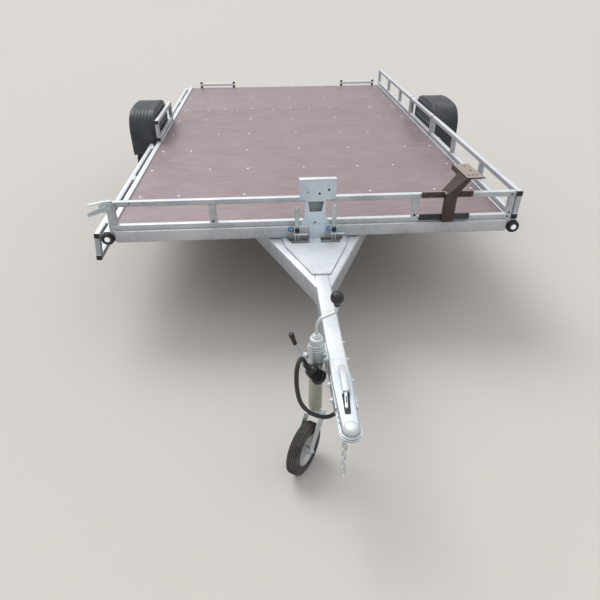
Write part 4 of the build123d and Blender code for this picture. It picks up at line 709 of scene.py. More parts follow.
def hood_rings(levels):
    """Rings of a hood seen from above, one for each level: two straight flanks that narrow from
    the beam's end to the nose, joined by a round nose about the ball's middle. A level is a
    height, the nose's radius and the flanks' half width at the beam."""
    turn = np.linspace(math.pi, 2 * math.pi, 25)
    rings = []
    for z, nose, flank in levels:
        arc = np.stack([nose * np.cos(turn), BALL[1] + nose * np.sin(turn)], -1)
        back = [(flank, BEAM_FRONT_Y), (flank, -960.0), (-flank, -960.0), (-flank, BEAM_FRONT_Y)]
        outline = np.concatenate([arc, back])
        rings.append(np.concatenate([outline, np.full((len(outline), 1), z)], -1))
    return np.array(rings)


coupler_zinc = galvanised("coupler_zinc", (0.80, 0.855, 0.90), (0.63, 0.69, 0.75), 420.0, 0.34)
hood_levels = [(478.5, 30.0, 31.0), (478.5, 33.4, 33.6), (480.5, 33.6, 33.8), (481.3, 32.8, 33.6),
               (481.6, 30.9, 32.6), (486.0, 30.7, 32.6), (486.8, 30.0, 32.4), (487.1, 27.6, 32.2),
               (496.0, 25.4, 31.6), (500.0, 22.6, 29.8), (501.6, 20.4, 27.6), (502.2, 17.0, 25.4)]
socket_lip = [(25.3, 479.5), (25.3, 471), (26.3, 470), (28.4, 470), (29.4, 471.2), (29.4, 479.5)]
cheek = np.array([(-1104, 484), (-1100, 462), (-1086, 449), (-960, 446), (-960, 492), (-1104, 492)])
ear = np.array([(-1129, 481), (-1129, 456), (-1124, 450), (-1116, 450), (-1111, 456), (-1111, 481)])
coupler_shells = [skin(hood_rings(hood_levels)), spun(socket_lip, BALL, steps=48, loop=True)]
coupler_shells += [carried(outline, (x0, 0, 0), (x1, 0, 0), 0.6) for outline, x0, x1 in
                   ((cheek, -33.4, -30.0), (cheek, 30.0, 33.4), (ear, -16.0, -12.0), (ear, 8.0, 12.0))]
chain_pin = [(3.0, -19), (3.5, -18.5), (3.5, 18.5), (3.0, 19)]
coupler_shells.append(spun(chain_pin, (CHAIN_X, CHAIN_Y, BEAM_Z), (1, 0, 0), 16))
piece("coupler_hood", "chassis", coupler_shells, coupler_zinc, ["coupler_body"])
cap = [(22.6, 496), (22.0, 501), (20.2, 505), (17.0, 508.4), (12.5, 510.8), (7.0, 512.0), (0.5, 512.3)]
cap_shells = [spun(cap, BALL, steps=40)]
for z, reach in ((479.6, 33.4), (485.2, 30.6)):
    rim = [(27.0, z), (reach, z), (reach + 0.4, z + 0.8), (reach - 0.2, z + 1.7), (27.0, z + 1.9)]
    cap_shells.append(spun(rim, BALL, steps=56, loop=True))
piece("coupler_cap", "chassis", cap_shells, bolt_zinc)
coupler_bolts = bolts([(33.5, -970, 473), (33.5, -1059, 469)], (1, 0, 0), 8.5, 5)
coupler_bolts += bolts([(-33.5, -972, 462), (-33.5, -1043, 464)], (-1, 0, 0), 8.5, 5)
coupler_bolts += bolts([(29.5, -771, 470), (29.5, -875, 481)], (1, 0, 0), 6.5, 6)
rivet_places = [(x, y, 490.5) for x, y in ((-29.2, -1112), (-28.6, -1134), (-28.0, -1156))]
coupler_bolts += bolts(rivet_places, (-0.87, 0, 0.5), 2.4)
piece("coupler_bolts", "chassis", coupler_bolts, bolt_zinc)

# The coupler's handle is a narrow channel over the hood. Its tongue dips into a slot and works
# the catch inside. The slot's dark opening and the dark slot in the tongue are painted shadow.
handle_shells = [bar(20, 13, 3.5, (3, -1058, 512.5), (4.5, -944, 514.5), 2.0),
                 bar(9, 9, 2, (2.5, -1052, 509), (-3.5, -1118, 505), 1.5)]
handle_shells += [bar(1.8, 11, 0.8, (x, -1062, 507.5), (x + 0.5, -990, 508.5), 0.5) for x in (-6.5, 13.5)]
handle_shells += hex_bolt((14.5, -1040, 508), (1, 0, 0), 4.0)
piece("coupler_handle_grip", "chassis", handle_shells, bolt_zinc, ["coupler_handle"])
slot_dark = grainy("slot_dark", (0.018, 0.020, 0.023), (0.045, 0.050, 0.055), 0.5, 500.0, 0.0002)
# Painted shadow: a near-black plate stands for the shade in the slot's opening, and a thin near-black bar for
# the shade in the tongue's slot.
slot_outline = np.array([(-9.5, -1057), (14, -1057), (7, -1134), (4, -1138), (-9, -1138), (-11, -1134)])
slot_shells = [carried(slot_outline, (0, 0, 501.0), (0, 0, 503.0), 0.4),
               bar(3.2, 3.0, 1, (0.5, -1076, 512.6), (-1.5, -1100, 511.0), 0.6)]
piece("coupler_slot_painted_shadow", "chassis", slot_shells, slot_dark)

# The safety chain is welded link by link from bright wire, and ends in a long snap hook. Each
# link hangs a quarter turn from the one above it.


def wire(points, radius, across, steps=8, loop=False):
    """Round wire along points that lie in one plane: each ring is square to the wire's way, its
    points at the radius along the plane's normal and along that normal cross the way."""
    points = np.asarray(points, float)
    way = np.roll(points, -1, 0) - np.roll(points, 1, 0) if loop else np.gradient(points, axis=0)
    way = way / np.linalg.norm(way, axis=1)[:, None]
    across = np.asarray(across, float) / np.linalg.norm(across)
    other = np.cross(way, across)
    turn = full_turn(steps)[None, :, None]
    return skin(points[:, None] + radius * (np.cos(turn) * across + np.sin(turn) * other[:, None]), loop)


def oval(middle, reach, half_width, side, steps=9):
    """An upright oval: two half circles of the half width, one above and one below, as far
    apart as the reach allows; side is the level direction across it."""
    turn = np.linspace(0.0, math.pi, steps)
    turn = np.concatenate([turn, turn + math.pi])
    height = np.sin(turn) * half_width + np.repeat([1.0, -1.0], steps) * (reach - half_width)
    return middle + (np.cos(turn) * half_width)[:, None] * side + height[:, None] * UP


LINK_PITCH, LINK_WIRE, LINK_HALF, LINK_GAP = 21.0, 2.75, 7.6, 0.3
link_reach = (LINK_PITCH + 2 * LINK_WIRE + LINK_GAP) / 2
first_middle = BEAM_Z + 3.5 + LINK_WIRE + LINK_GAP - link_reach
half_root = math.sqrt(0.5)
link_sides = [np.array((half_root, half_root, 0.0)), np.array((half_root, -half_root, 0.0))]
weld = [(2.9, -2.4), (3.4, -1.0), (3.4, 1.0), (2.9, 2.4)]
chain_shells = []
for number in range(10):
    side, normal = link_sides[number % 2], link_sides[1 - number % 2]
    middle = np.array((CHAIN_X, CHAIN_Y, first_middle - LINK_PITCH * number))
    chain_shells += [wire(oval(middle, link_reach, LINK_HALF, side), 2.8, normal, loop=True),
                     spun(weld, middle + LINK_HALF * side, steps=10)]
hook_middle = np.array((CHAIN_X, CHAIN_Y, first_middle - LINK_PITCH * 9 - link_reach + 5.8 - 28.0))
hinge_barrel = [(3.6, -11), (3.8, -10), (3.8, 10), (3.6, 11)]
chain_shells += [wire(oval(hook_middle, 28.0, 8.6, link_sides[0], 14), 2.7, link_sides[1], 10, loop=True),
                 spun(hinge_barrel, hook_middle + 8.6 * link_sides[0] + (0, 0, 2), steps=12)]
piece("safety_chain_links", "chassis", chain_shells, bolt_zinc, ["safety_chain"])

# The jockey wheel slides in a clamp on the beam's left side. Its outer tube has a collar with a
# cap on top; a screw spindle inside is turned by the bent crank and its black knob.
JOCKEY_X, JOCKEY_Y = -67, -845
dull_zinc = galvanised("dull_zinc", (0.76, 0.78, 0.64), (0.50, 0.52, 0.42), 300.0, 0.56)
jockey_zinc = galvanised("jockey_zinc", (0.83, 0.88, 0.88), (0.62, 0.67, 0.67), 420.0, 0.79)
refinished(jockey_zinc, "jockey_leg")


def jockey_turned(profile, z, steps, loop=False):
    """A turned piece about the jockey wheel's tube, from the height z up."""
    return spun(profile, (JOCKEY_X, JOCKEY_Y, z), steps=steps, loop=loop)


def bent(corners, reach, steps=7):
    """A line with rounded corners: at each corner a curve leaves the line at the reach before
    it and meets it again at the reach after it, as (1-t)^2 a + 2t(1-t) corner + t^2 b."""
    corners = np.asarray(corners, float)
    back = corners[:-2] - corners[1:-1]
    on = corners[2:] - corners[1:-1]
    a = corners[1:-1] + back / np.linalg.norm(back, axis=1)[:, None] * reach
    b = corners[1:-1] + on / np.linalg.norm(on, axis=1)[:, None] * reach
    t = np.linspace(0.0, 1.0, steps)[None, :, None]
    curves = (1 - t) ** 2 * a[:, None] + 2 * t * (1 - t) * corners[1:-1, None] + t ** 2 * b[:, None]
    return np.concatenate([corners[:1], curves.reshape(-1, 3), corners[-1:]])


outer_tube = jockey_turned([(24, 0), (24, 285), (20.5, 285), (20.5, 1), (21.5, 0)], 240, 40, True)
piece("jockey_outer_tube", "chassis", [outer_tube], dull_zinc, ["jockey_tube"])
collar = [(22, 0), (25.5, 0.8), (25.5, 4), (23.4, 6), (23.4, 24), (22.6, 27), (20.5, 29.5), (16, 31.5),
          (15, 32), (15, 38), (13, 40), (6, 40)]
collar_foot = [(24.2, 0), (27, 0), (28, 1.5), (28, 5), (27, 6.5), (24.2, 6.5)]
collar_shells = [jockey_turned(collar, 525, 48), jockey_turned(collar_foot, 516, 48, True),
                 jockey_turned([(11, 0), (11, 3), (8.5, 5)], 564.5, 24)]
piece("jockey_collar", "chassis", collar_shells, jockey_zinc)
crank_corners = [(x, JOCKEY_Y, z) for x, z in ((-67, 562), (-67, 606), (-57, 630), (-4, 655), (-4, 684))]
crank = wire(bent(crank_corners, 9.0), 5.6, (0, 1, 0), 14)
piece("jockey_crank_rod", "chassis", [crank], jockey_zinc, ["jockey_crank"])
knob_plastic = grainy("knob_plastic", (0.016, 0.016, 0.017), (0.032, 0.032, 0.033), 0.35, 900.0, 0.00015)
knob = [(6.8, 0), (9.2, 1), (10, 4), (10, 12), (11.5, 14.5), (15, 16), (18.5, 19), (21.2, 24.5), (22, 31),
        (21.4, 37.5), (19, 43), (15, 47.5), (9.5, 50.3), (4, 51.4), (1, 51.5)]
grip = [(4.8, 0), (7.6, 1.5), (8.0, 6), (7.4, 14), (8.6, 26), (9.5, 38), (9.2, 44), (7, 47.6), (3, 49),
        (0.8, 49.3)]
knob_shells = [spun(knob, (-4, JOCKEY_Y, 677), steps=40),
               spun(grip, (-137, JOCKEY_Y, 530), (-14.0, 0.0, 46.0), 28)]
piece("jockey_knobs", "chassis", knob_shells, knob_plastic)

# The clamp is a steel bush, welded by a short web to a back plate that is bolted to the beam. Its
# screw is tightened by a cranked lever with a black grip that stands up beside the tube.
bush = [(24.4, 0), (28.5, 0), (29.5, 1), (29.5, 49), (28.5, 50), (24.4, 50)]
lever_line = bent([(-94, JOCKEY_Y, 480), (-111, JOCKEY_Y, 480), (-137, JOCKEY_Y, 531)], 8.0)
clamp_shells = [jockey_turned(bush, 465, 56, True),
                bar(88, 70, 5, (-36, JOCKEY_Y, 463), (-30, JOCKEY_Y, 463), 1.2),
                bar(40, 34, 3, (-60, JOCKEY_Y, 480), (-32, JOCKEY_Y, 480), 1.0),
                wire(lever_line, 4.6, (0, 1, 0), 14),
                spun([(10, 0), (11, 1), (11, 10), (8, 12), (8, 15)], (-97, JOCKEY_Y, 480), (-1, 0, 0), 24)]
clamp_shells += bolts([(-36, y, z) for z in (440, 488) for y in (-880, -810)], (-1, 0, 0), 7.5, 4)
clamp_shells += [bead((-36, y, 465), (-60, y, 465), 2.6, (0, out, 0)) for y, out in ((-866, -1), (-824, 1))]
piece("jockey_clamp_bush", "chassis", clamp_shells, jockey_zinc, ["jockey_clamp"])

# The fork is one strip of zinc plated steel bent over the leg's foot, wide at its crown and
# narrow at the wheel's bolt. It stands turned, as the wheel was left after pushing.
SMALL_AXLE = (0, -84.6, 100)
cos, sin = math.cos(math.radians(-33.0)), math.sin(math.radians(-33.0))
fork_turn = np.array([(cos, -sin, 0), (sin, cos, 0), (0, 0, 1)])


def swivelled(*shells):
    """Shells drawn with the swivel's axis at zero and the wheel in front of it, turned about
    that axis and moved to the jockey wheel's place."""
    return [(points @ fork_turn.T + (JOCKEY_X, JOCKEY_Y, 0.0), faces) for points, faces in shells]


fork_shells = []
cheek_side = np.array([(24.0, 190.0), (24.0, 214.0), (20.0, 217.6), (-26.0, 217.6), (-31.0, 213.0),
                       (-98.6, 106.0), (-100.0, 97.0), (-96.0, 89.0), (-88.0, 86.0), (-78.0, 90.0)])
for hand in (-1, 1):
    fork_shells.append(carried(cheek_side, (hand * 29.5 - 2, 0, 0), (hand * 29.5 + 2, 0, 0), 1.0))
    fork_shells += hex_bolt((hand * 31.5, *SMALL_AXLE[1:]), (hand, 0, 0), 9, (hand + 1) * 1.5)
crown_line = bent([(-30.5, -2, 190), (-30.5, -2, 215.6), (30.5, -2, 215.6), (30.5, -2, 190)], 7.0)
strip = rounded(52.0, 3.6, 1.4)
crown_way = np.gradient(crown_line, axis=0)
crown_out = np.cross(crown_way / np.linalg.norm(crown_way, axis=1)[:, None], (0, 1, 0))
crown = crown_line[:, None] + strip[None, :, :1] * (0, 1, 0) + strip[None, :, 1:] * crown_out[:, None]
fork_shells += [skin(crown), spun([(6, -34), (6, 34)], SMALL_AXLE, (1, 0, 0), 20)]
fork = swivelled(*fork_shells)
piece("jockey_fork_strip", "jockey_fork", fork, jockey_zinc, ["jockey_fork"])

# The small wheel has a solid ribbed rubber tyre on a pressed silver rim of two dished halves.
# It turns on the bolt through the fork's narrow ends.


def jockey_section():
    """Radius and place across of the small tyre: rounded walls, and a tread with four round
    ribs between narrow grooves, from a cosine of the place across."""
    across = np.linspace(-15.0, 15.0, 61)
    ribs = 100.0 - 4.2 * np.clip(np.cos(2 * math.pi * across / 7.5), 0.25, 1.0) ** 2 + 0.2
    wall = np.array([(62.3, 15), (70, 17.5), (74, 21), (80, 22), (86, 21.6), (92.5, 20.4), (96.6, 18.2),
                     (98.6, 16.2)])
    return np.concatenate([wall * (1, -1), np.stack([np.minimum(ribs, 100.0), across], -1), wall[::-1]])


small_tyre = swivelled(spun(jockey_section(), SMALL_AXLE, (1, 0, 0), 90, True))
small_rubber = grainy("small_rubber", (0.050, 0.045, 0.041), (0.115, 0.105, 0.097), 0.7, 1100.0, 0.0004)
piece("jockey_tyre_ribbed", "jockey_wheel", small_tyre, small_rubber, ["jockey_tyre"])
rim_half = [(6.2, -26), (12.5, -26), (13, -25), (14.5, -7), (19, -5.5), (26, -4.5), (38, -6.5), (47, -4.2),
            (53, -9), (56.5, -16.5), (60, -18.5), (62, -18.2)]
rim_section = rim_half + [(radius, -across) for radius, across in rim_half[::-1]]
small_rim = swivelled(spun(rim_section, SMALL_AXLE, (1, 0, 0), 64, True))
piece("jockey_rim_dished", "jockey_wheel", small_rim, silver_paint, ["jockey_rim"])

# The plug is a ribbed black housing that hangs in its holder on the beam's left side, with a
# sleeve at its back that keeps the lead from kinking.
plug_way = np.array((39.0, 0.0, -50.0))
plug_end = np.linalg.norm(plug_way)
ribbed = [(20.5 + 1.5 * math.copysign(1, math.sin(2 * math.pi * way / 5.6)) + 0.2 * (way > 3), 10.0 + way)
          for way in np.arange(0.0, 34.1, 0.85)]
plug = [(9.5, -9), (11, -8), (12.5, -2), (17, 0), (20, 3), (20.5, 9), *ribbed, (25.8, 45), (26.4, 47),
        (26.4, 57), (25.2, 59.5), (22.5, plug_end - 0.8), (21, plug_end - 1.5), (20, plug_end - 8),
        (1, plug_end - 8)]
housing = spun(plug, (-94, -900, 470), plug_way, 48)
piece("lamp_plug_housing", "chassis", [housing], knob_plastic, ["plug"])
sleeve = [(7.2, 0), (10.5, 1), (10.5, 4), (9.2, 5), (10.2, 7), (9.0, 9), (9.8, 11), (8.7, 13), (9.2, 15),
          (7.9, 17), (7.4, 19)]
sleeve_shell = spun(sleeve, (-98.5, -900, 475.8), (-11.7, 0, 15.0), 28)
piece("plug_sleeve", "chassis", [sleeve_shell], cable_rubber)
grommet = [(7.4, -3), (12, -3), (13.5, -1.5), (13.5, 0.5), (7.4, 1)]
grommet_shell = spun(grommet, LEAD_ROUTE[-1], loop=True)
piece("lead_grommet", "chassis", [grommet_shell], pad_rubber)

# The bed's side members are closed tubes of 30 by 50 mm with the lower hinge halves welded on
# outside: a lug with a rolled eye that holds the pin of the folding side board.
RAIL_X = 957.5
BED_Z, BED_END_Y = 530, 3318
HINGE_X, HINGE_Z = 981, 552
HINGE_PLACES = (120.0, 702.5, 1285.0, 2135.0, 2666.5, 3198.0)


def hinge_turned(profile, hand, y, steps=20, loop=False):
    """A turned piece about the hinge line of one side, from the place y on."""
    return spun(profile, (hand * HINGE_X, y, HINGE_Z), (0, 1, 0), steps, loop)


bed_shells = []
for hand in (-1, 1):
    bed_shells.append(bar(30, 50, 4, (hand * RAIL_X, BED_END_Y, BED_Z), (hand * RAIL_X, 0, BED_Z)))
    for y in HINGE_PLACES:
        lug = rounded(8.5, 11, 1.5) + (hand * 976.75, 549.5)
        eye = [(5.1, 0), (7.5, 0), (8, 0.6), (8, 29.4), (7.5, 30), (5.1, 30)]
        bed_shells += [carried(lug, (0, y + 30, 0), (0, y, 0)), hinge_turned(eye, hand, y, 24, True),
                       hinge_turned([(4, -31), (5, -30), (5, 32), (4, 33)], hand, y),
                       hinge_turned([(7.6, 0), (8, 0.5), (8, 3.5), (6, 4.5)], hand, y + 30.2)]
        bed_shells += [bead((hand * x, y + 1, z), (hand * x, y + 29, z), radius, (hand, 0, 0))
                       for x, z, radius in ((973, 543.5, 2.2), (973.5, 555.5, 1.6))]
piece("side_member_tubes", "bed", bed_shells, zinc_coat, ["side_members"])

# The front beam is folded from sheet: an upright box under the rail, and a ledge in front of
# it that takes the latches. It is welded between the side members.
beam_shells = [carried(rounded(35, 55, 4) + (17.5, 532.5), (-942.5, 0, 0), (942.5, 0, 0)),
               carried(rounded(19, 55, 3.5) + (-5.5, 532.5), (-917, 0, 0), (917, 0, 0))]
beam_shells += [bead((x, 0, 507), (x, 0, 558), 2.6, (0, -1, 0)) for x in (-942.5, 942.5)]
beam_shells.append(bar(3.4, 3.4, 1.5, (-905, -14.6, 558.6), (905, -14.6, 558.6)))
piece("front_beam_box", "bed", beam_shells, zinc_coat, ["front_beam"])

# The deck is two panels of plywood with a brown film on both faces, pressed with a fine mesh.
# Their edges are cut square and show the plies. They meet over the widest cross member.
film = new_finish("brown_film", (0.27, 0.19, 0.19), 0.4)
film_place = node(film, "TexCoord").outputs["Object"]
long_place = node(film, "Mapping", {"Vector": film_place, "Scale": (1.6, 22.0, 1.0)}).outputs["Vector"]
wear = arithmetic(film, "MULTIPLY_ADD", noise(film, film_place, 5.0, 8.0, 0.65), 0.4,
                  noise(film, long_place, 5.0, 5.0, 0.6))
film_tint = shaded(film, wear, (0.5, (0.255, 0.180, 0.190)), (0.7, (0.300, 0.220, 0.230)),
                   (0.86, (0.355, 0.275, 0.285)))
ply_height = node(film, "SeparateXYZ", {"Vector": film_place}).outputs["Z"]
plies = arithmetic(film, "SINE", arithmetic(film, "MULTIPLY", ply_height, 3700.0))
ply_share = mapped(film, plies, 0.0, 1.0, (-1.0, 1.0))
ply_tint = shaded(film, ply_share, (0.3, (0.20, 0.12, 0.07)), (0.7, (0.40, 0.28, 0.18)))
film_normal = node(film, "NewGeometry").outputs["Normal"]
facing = arithmetic(film, "ABSOLUTE", node(film, "SeparateXYZ", {"Vector": film_normal}).outputs["Z"])
film_or_ply = mixed(film, mapped(film, facing, 0.0, 1.0, (0.4, 0.7)), ply_tint, film_tint)
coat(film, {"Base Color": film_or_ply, "Roughness": mapped(film, wear, 0.34, 0.6, (0.5, 0.95)),
            "Coat Weight": 0.25, "Coat Roughness": 0.3})
mesh_cells = {"Vector": film_place, "Scale": 300.0, "Randomness": 0.35}
mesh_pattern = node(film, "TexVoronoi", mesh_cells, feature="DISTANCE_TO_EDGE").outputs["Distance"]
bumped(film, mapped(film, mesh_pattern, 0.0, 1.0, (0.0, 0.25)), 0.00015, 0.35)
deck_shells = [bar(1881, 12, 0.9, (0, rear, 541), (0, front, 541), 0.5)
               for front, rear in ((37, 2363), (2365, BED_END_Y))]
piece("deck_boards", "bed", deck_shells, film, ["deck_panels"])

# Countersunk zinc screws hold the panels down to the cross members, row by row. Each head is a
# flat disc with a dished middle, level with the film.
screw_rows = [
    (52, (-900, -520, -60, 420, 880)), (437, (-893, -690, -340, 0, 345, 700, 905)),
    (850, (-905, -560, -330, 10, 340, 560, 900)), (1222, (-900, -715, -345, 0, 335, 725, 897)),
    (1612, (-893, -560, -340, 5, 330, 540, 903)), (2030, (-903, -700, -335, 0, 350, 705, 895)),
    (2345, (-900, -700, -455, -150, 160, 450, 695, 902)), (2384, (-885, -560, -340, 0, 345, 690, 890)),
    (2800, (-900, -700, -340, 0, 340, 700, 900)), (3296, (-890, -560, -250, 60, 350, 640, 895)),
]
screw = [(4.0, -3.0), (7.6, -0.2), (7.8, 0.5), (7.2, 0.9), (2.6, 0.9), (1.2, -0.8), (0.4, -0.9)]
screws = [spun(screw, (x, y, 547), steps=16) for y, row in screw_rows for x in row]
piece("deck_screws", "bed", screws, bolt_zinc)

# The low rail is made of square tubes of 25 mm: a lower and a top tube with short posts welded
# between them. The front rail and the piece beside each mudguard are fixed to the bed.
FRONT_RAIL_MID = 12.5
LOWER, UPPER = 572.5, 685.5


def two_tubes(start, end):
    """The lower and the top tube of a rail, between two places seen from above."""
    return [bar(25, 25, 3.2, (*start, z), (*end, z)) for z in (LOWER, UPPER)]


def post_with_welds(x, y, width, depth_along_x):
    """A post between the lower and top tube, from its foot's middle, and the bead in each of its
    four corners with the tubes; depth_along_x tells which way the rail's depth lies."""
    sizes, reach = ((25, width), (11.5, 0)) if depth_along_x else ((width, 25), (0, 11.5))
    shells = [bar(*sizes, 3.0, (x, y, 584.5), (x, y, 673.5), 0.1)]
    for z in (585.5, 672.5):
        for out in (-width / 2 - 0.6, width / 2 + 0.6):
            at = np.array((x, y + out, z) if depth_along_x else (x + out, y, z))
            shells.append(bead(at - (*reach, 0), at + (*reach, 0), 2.3, UP))
    return shells


rail_shells = two_tubes((-939, FRONT_RAIL_MID), (939, FRONT_RAIL_MID))
for x0, x1 in ((-939.0, -902.0), (-482.0, -450.0), (455.0, 485.0), (913.0, 939.0)):
    rail_shells += post_with_welds((x0 + x1) / 2, FRONT_RAIL_MID, x1 - x0, False)
for x in (-RAIL_X, RAIL_X):
    rail_shells += two_tubes((x, 2005), (x, 1415))
    for y in (1427.5, 1992.5):
        hand = np.sign(x)
        rail_shells += post_with_welds(x, y, 25.0, True)
        rail_shells += [bar(30, 25, 3, (x, y, 555), (x, y, 560), 0.1),
                        bead((hand * 972.8, y - 12, 557), (hand * 972.8, y + 12, 557), 2.2, (hand, 0, 0))]
piece("fixed_rails", "bed", rail_shells, zinc_coat,
      ["fixed_rail_tubes", "fixed_rail_posts"])

# Black plastic caps close the ends of the rail tubes and the front ends of the side members, each
# a plug with a slightly domed face. Small black bolt heads show on the front rail.


def end_cap(centre, out, outline, domes):
    """A cap: rings of the outline, each a way further out and a share of its size."""
    centre = np.asarray(centre, float)
    return skin(across_run(centre, centre + out, UP, [(0, way, share * outline) for way, share in domes]))


cap_plastic = grainy("cap_plastic", (0.008, 0.008, 0.009), (0.018, 0.018, 0.019), 0.5, 800.0, 0.0002)
tube_cap = rounded(24.6, 24.6, 3.0), ((-1.0, 0.99), (1.6, 1.0), (2.6, 0.93), (3.0, 0.7))
member_cap = rounded(30, 50, 4) * 0.98, ((-1.0, 0.99), (1.2, 1.0), (2.0, 0.93))
cap_shells = [end_cap((x, y, z), (0, out, 0), *tube_cap) for x in (-RAIL_X, RAIL_X) for z in (LOWER, UPPER)
              for y, out in ((1415, -1), (2005, 1))]
cap_shells += [end_cap((hand * 939, FRONT_RAIL_MID, z), (hand, 0, 0), *tube_cap)
               for hand in (-1, 1) for z in (LOWER, UPPER)]
cap_shells += [end_cap((x, 0, BED_Z), (0, -1, 0), *member_cap) for x in (-RAIL_X, RAIL_X)]
piece("rail_end_caps", "bed", cap_shells, cap_plastic)
rail_bolts = bolts([(-467, -0.2, 594), (471, -0.2, 594)], (0, -1, 0), 4.5)
rail_bolts += bolts([(920, -0.2, 574), (920, -0.2, 684), (926, -0.2, 594)], (0, -1, 0), 3.2)
piece("front_rail_bolts", "bed", rail_bolts, cap_plastic)

# The side boards are rail sections that fold outwards. Straps on the lower tube curl round the
# hinge pins. The two on the right stand up, and the two on the left hang folded down.
FOLDED_DOWN = math.radians(-173.0)


def strap(y):
    """A hinge strap in side view: up the tube's outer face, then round the pin; and its eye."""
    outline = np.array([(970, 560.5), (970, 584), (974, 584), (974, 563), (988, 555), (989, 552), (981, 552)])
    eye = [(5.2, 0), (7.5, 0), (8, 0.6), (8, 29.4), (7.5, 30), (5.2, 30)]
    return [carried(outline, (0, y - 1, 0), (0, y - 31, 0), 0.7), hinge_turned(eye, 1, y - 31, 24, True),
            bead((971.5, y - 30, 585), (971.5, y - 2, 585), 1.8, (1, 0, 0))]


def folded(shells, hand):
    """The right board's shells as they stand, or mirrored and turned down about the left hinge
    line for the left one."""
    if hand > 0:
        return shells
    cos, sin = math.cos(FOLDED_DOWN), math.sin(FOLDED_DOWN)
    made = []
    for points, faces in shells:
        x, z = HINGE_X - points[:, 0], points[:, 2] - HINGE_Z
        down = np.stack([x * cos + z * sin - HINGE_X, points[:, 1], HINGE_Z - x * sin + z * cos], -1)
        made.append((down, faces))
    return made


boards = {"front": (0.0, 1405.0, (12.5, 477.0, 949.0, 1392.5), HINGE_PLACES[:3]),
          "rear": (2015.0, BED_END_Y, (2027.5, 2400.0, 2858.0, 3305.5), HINGE_PLACES[3:])}
for name, (start, end, posts, hinges) in boards.items():
    shells = two_tubes((RAIL_X, end), (RAIL_X, start))
    for y in posts:
        shells += post_with_welds(RAIL_X, y, 25.0, True)
    for y in hinges:
        shells += strap(y)
    caps = [end_cap((RAIL_X, y, z), (0, out, 0), *tube_cap)
            for z in (LOWER, UPPER) for y, out in ((start, -1), (end, 1))]
    for side, hand in (("left", -1), ("right", 1)):
        board = f"board_{name}_{side}"
        kept = [f"{board}_tubes", f"{board}_posts"]
        piece(f"{board}_rails", board, folded(shells, hand), zinc_coat, kept)
        piece(f"{board}_caps", board, folded(caps, hand), cap_plastic)

# Two low bars stand behind the deck for the hooks of loading ramps. Each is welded between two
# short posts that are bolted to the rear beam. Short flat stubs look forward from the posts, one
# above the other, and black caps close them.
hook_shells, hook_caps = [], []
for x0, x1 in ((-865, -517), (554, 898)):
    hook_shells.append(bar(20, 25, 3, (x0, 3328, 575), (x1, 3328, 575)))
    for x in (x0 + 12.5, x1 - 12.5):
        hook_shells.append(bar(25, 20, 3, (x, 3332, 505), (x, 3332, 600)))
        for z in (557, 593):
            hook_shells.append(bar(22, 19, 2.5, (x, 3324, z), (x, 3317, z), 0.3))
            hook_caps.append(bar(20, 17, 2.5, (x, 3318, z), (x, 3314, z), 1.2))
        hook_shells += bolts([(x, 3341, z) for z in (520, 552)], (0, 1, 0), 5)
bar_zinc = galvanised("bar_zinc", (0.98, 0.985, 0.99), (0.90, 0.915, 0.93), 500.0, 0.93)
piece("ramp_hook_bars", "bed", hook_shells, bar_zinc, ["hook_bars"])
piece("hook_bar_caps", "bed", hook_caps, cap_plastic)

# The rear lamps hang below the rear beam. Each has a black plastic housing and a lens in three
# fields: red, amber and clear.
lens_red = grainy("lens_red", (0.42, 0.012, 0.012), (0.46, 0.03, 0.03), 0.22, 400.0, 0.0001)
lens_amber = grainy("lens_amber", (0.72, 0.22, 0.02), (0.74, 0.27, 0.05), 0.22, 400.0, 0.0001)
clear_lens_glowing = grainy("clear_lens_glowing", (0.90, 0.91, 0.92), (0.84, 0.85, 0.86), 0.2, 400.0, 0.0001)
# Painted glow: a faint white emission lightens the clear lenses, though no lamp in them is lit.
coat(clear_lens_glowing, {"Emission Color": (0.95, 0.98, 1.0, 1.0), "Emission Strength": 0.3})
housings = [bar(190, 62, 6, (x, 3276, 474), (x, 3303, 474), 2) for x in (-840, 840)]
piece("rear_lamp_housings", "bed", housings, cap_plastic, ["rear_lamps"])
for field, middle, width, lens, slot in (("red", 793, 90, lens_red, "lamp_red"),
                                         ("amber", 866, 52, lens_amber, "lamp_red"),
                                         ("clear", 913, 38, clear_lens_glowing, "lamp_white")):
    lenses = [bar(width, 56, 5, (x, 3300, 474), (x, BED_END_Y, 474), 4) for x in (-middle, middle)]
    piece(f"rear_lamp_{field}_fields", "bed", lenses, lens)

# The front marker lamps sit on the front ends of the side members: round clear lenses in thick
# rubber rings that give way when they are knocked.
ring_rubber = grainy("ring_rubber", (0.009, 0.009, 0.010), (0.020, 0.020, 0.022), 0.5, 800.0, 0.0003)
ring = [(13.4, 0), (28, 0), (30, 2), (30, 8), (29, 11), (26.5, 14), (24.5, 18.5), (22.5, 20), (17.5, 20),
        (15.4, 18.6), (13.4, 15.2)]
lens = [(13.1, 0.5), (13.1, 15.5), (12.4, 17.4), (10.4, 18.9), (7.2, 19.7), (3.4, 20), (0.5, 20)]
marker_places = [(-RAIL_X, 0, 523), (RAIL_X, 0, 523)]
rings = [spun(ring, place, (0, -1, 0), 48, True) for place in marker_places]
lenses = [spun(lens, place, (0, -1, 0), 40) for place in marker_places]
piece("marker_rubber_rings", "bed", rings, ring_rubber, ["marker_rings"])
# The marker lenses carry the same painted glow.
piece("marker_clear_lenses", "bed", lenses, clear_lens_glowing, ["marker_lenses"])

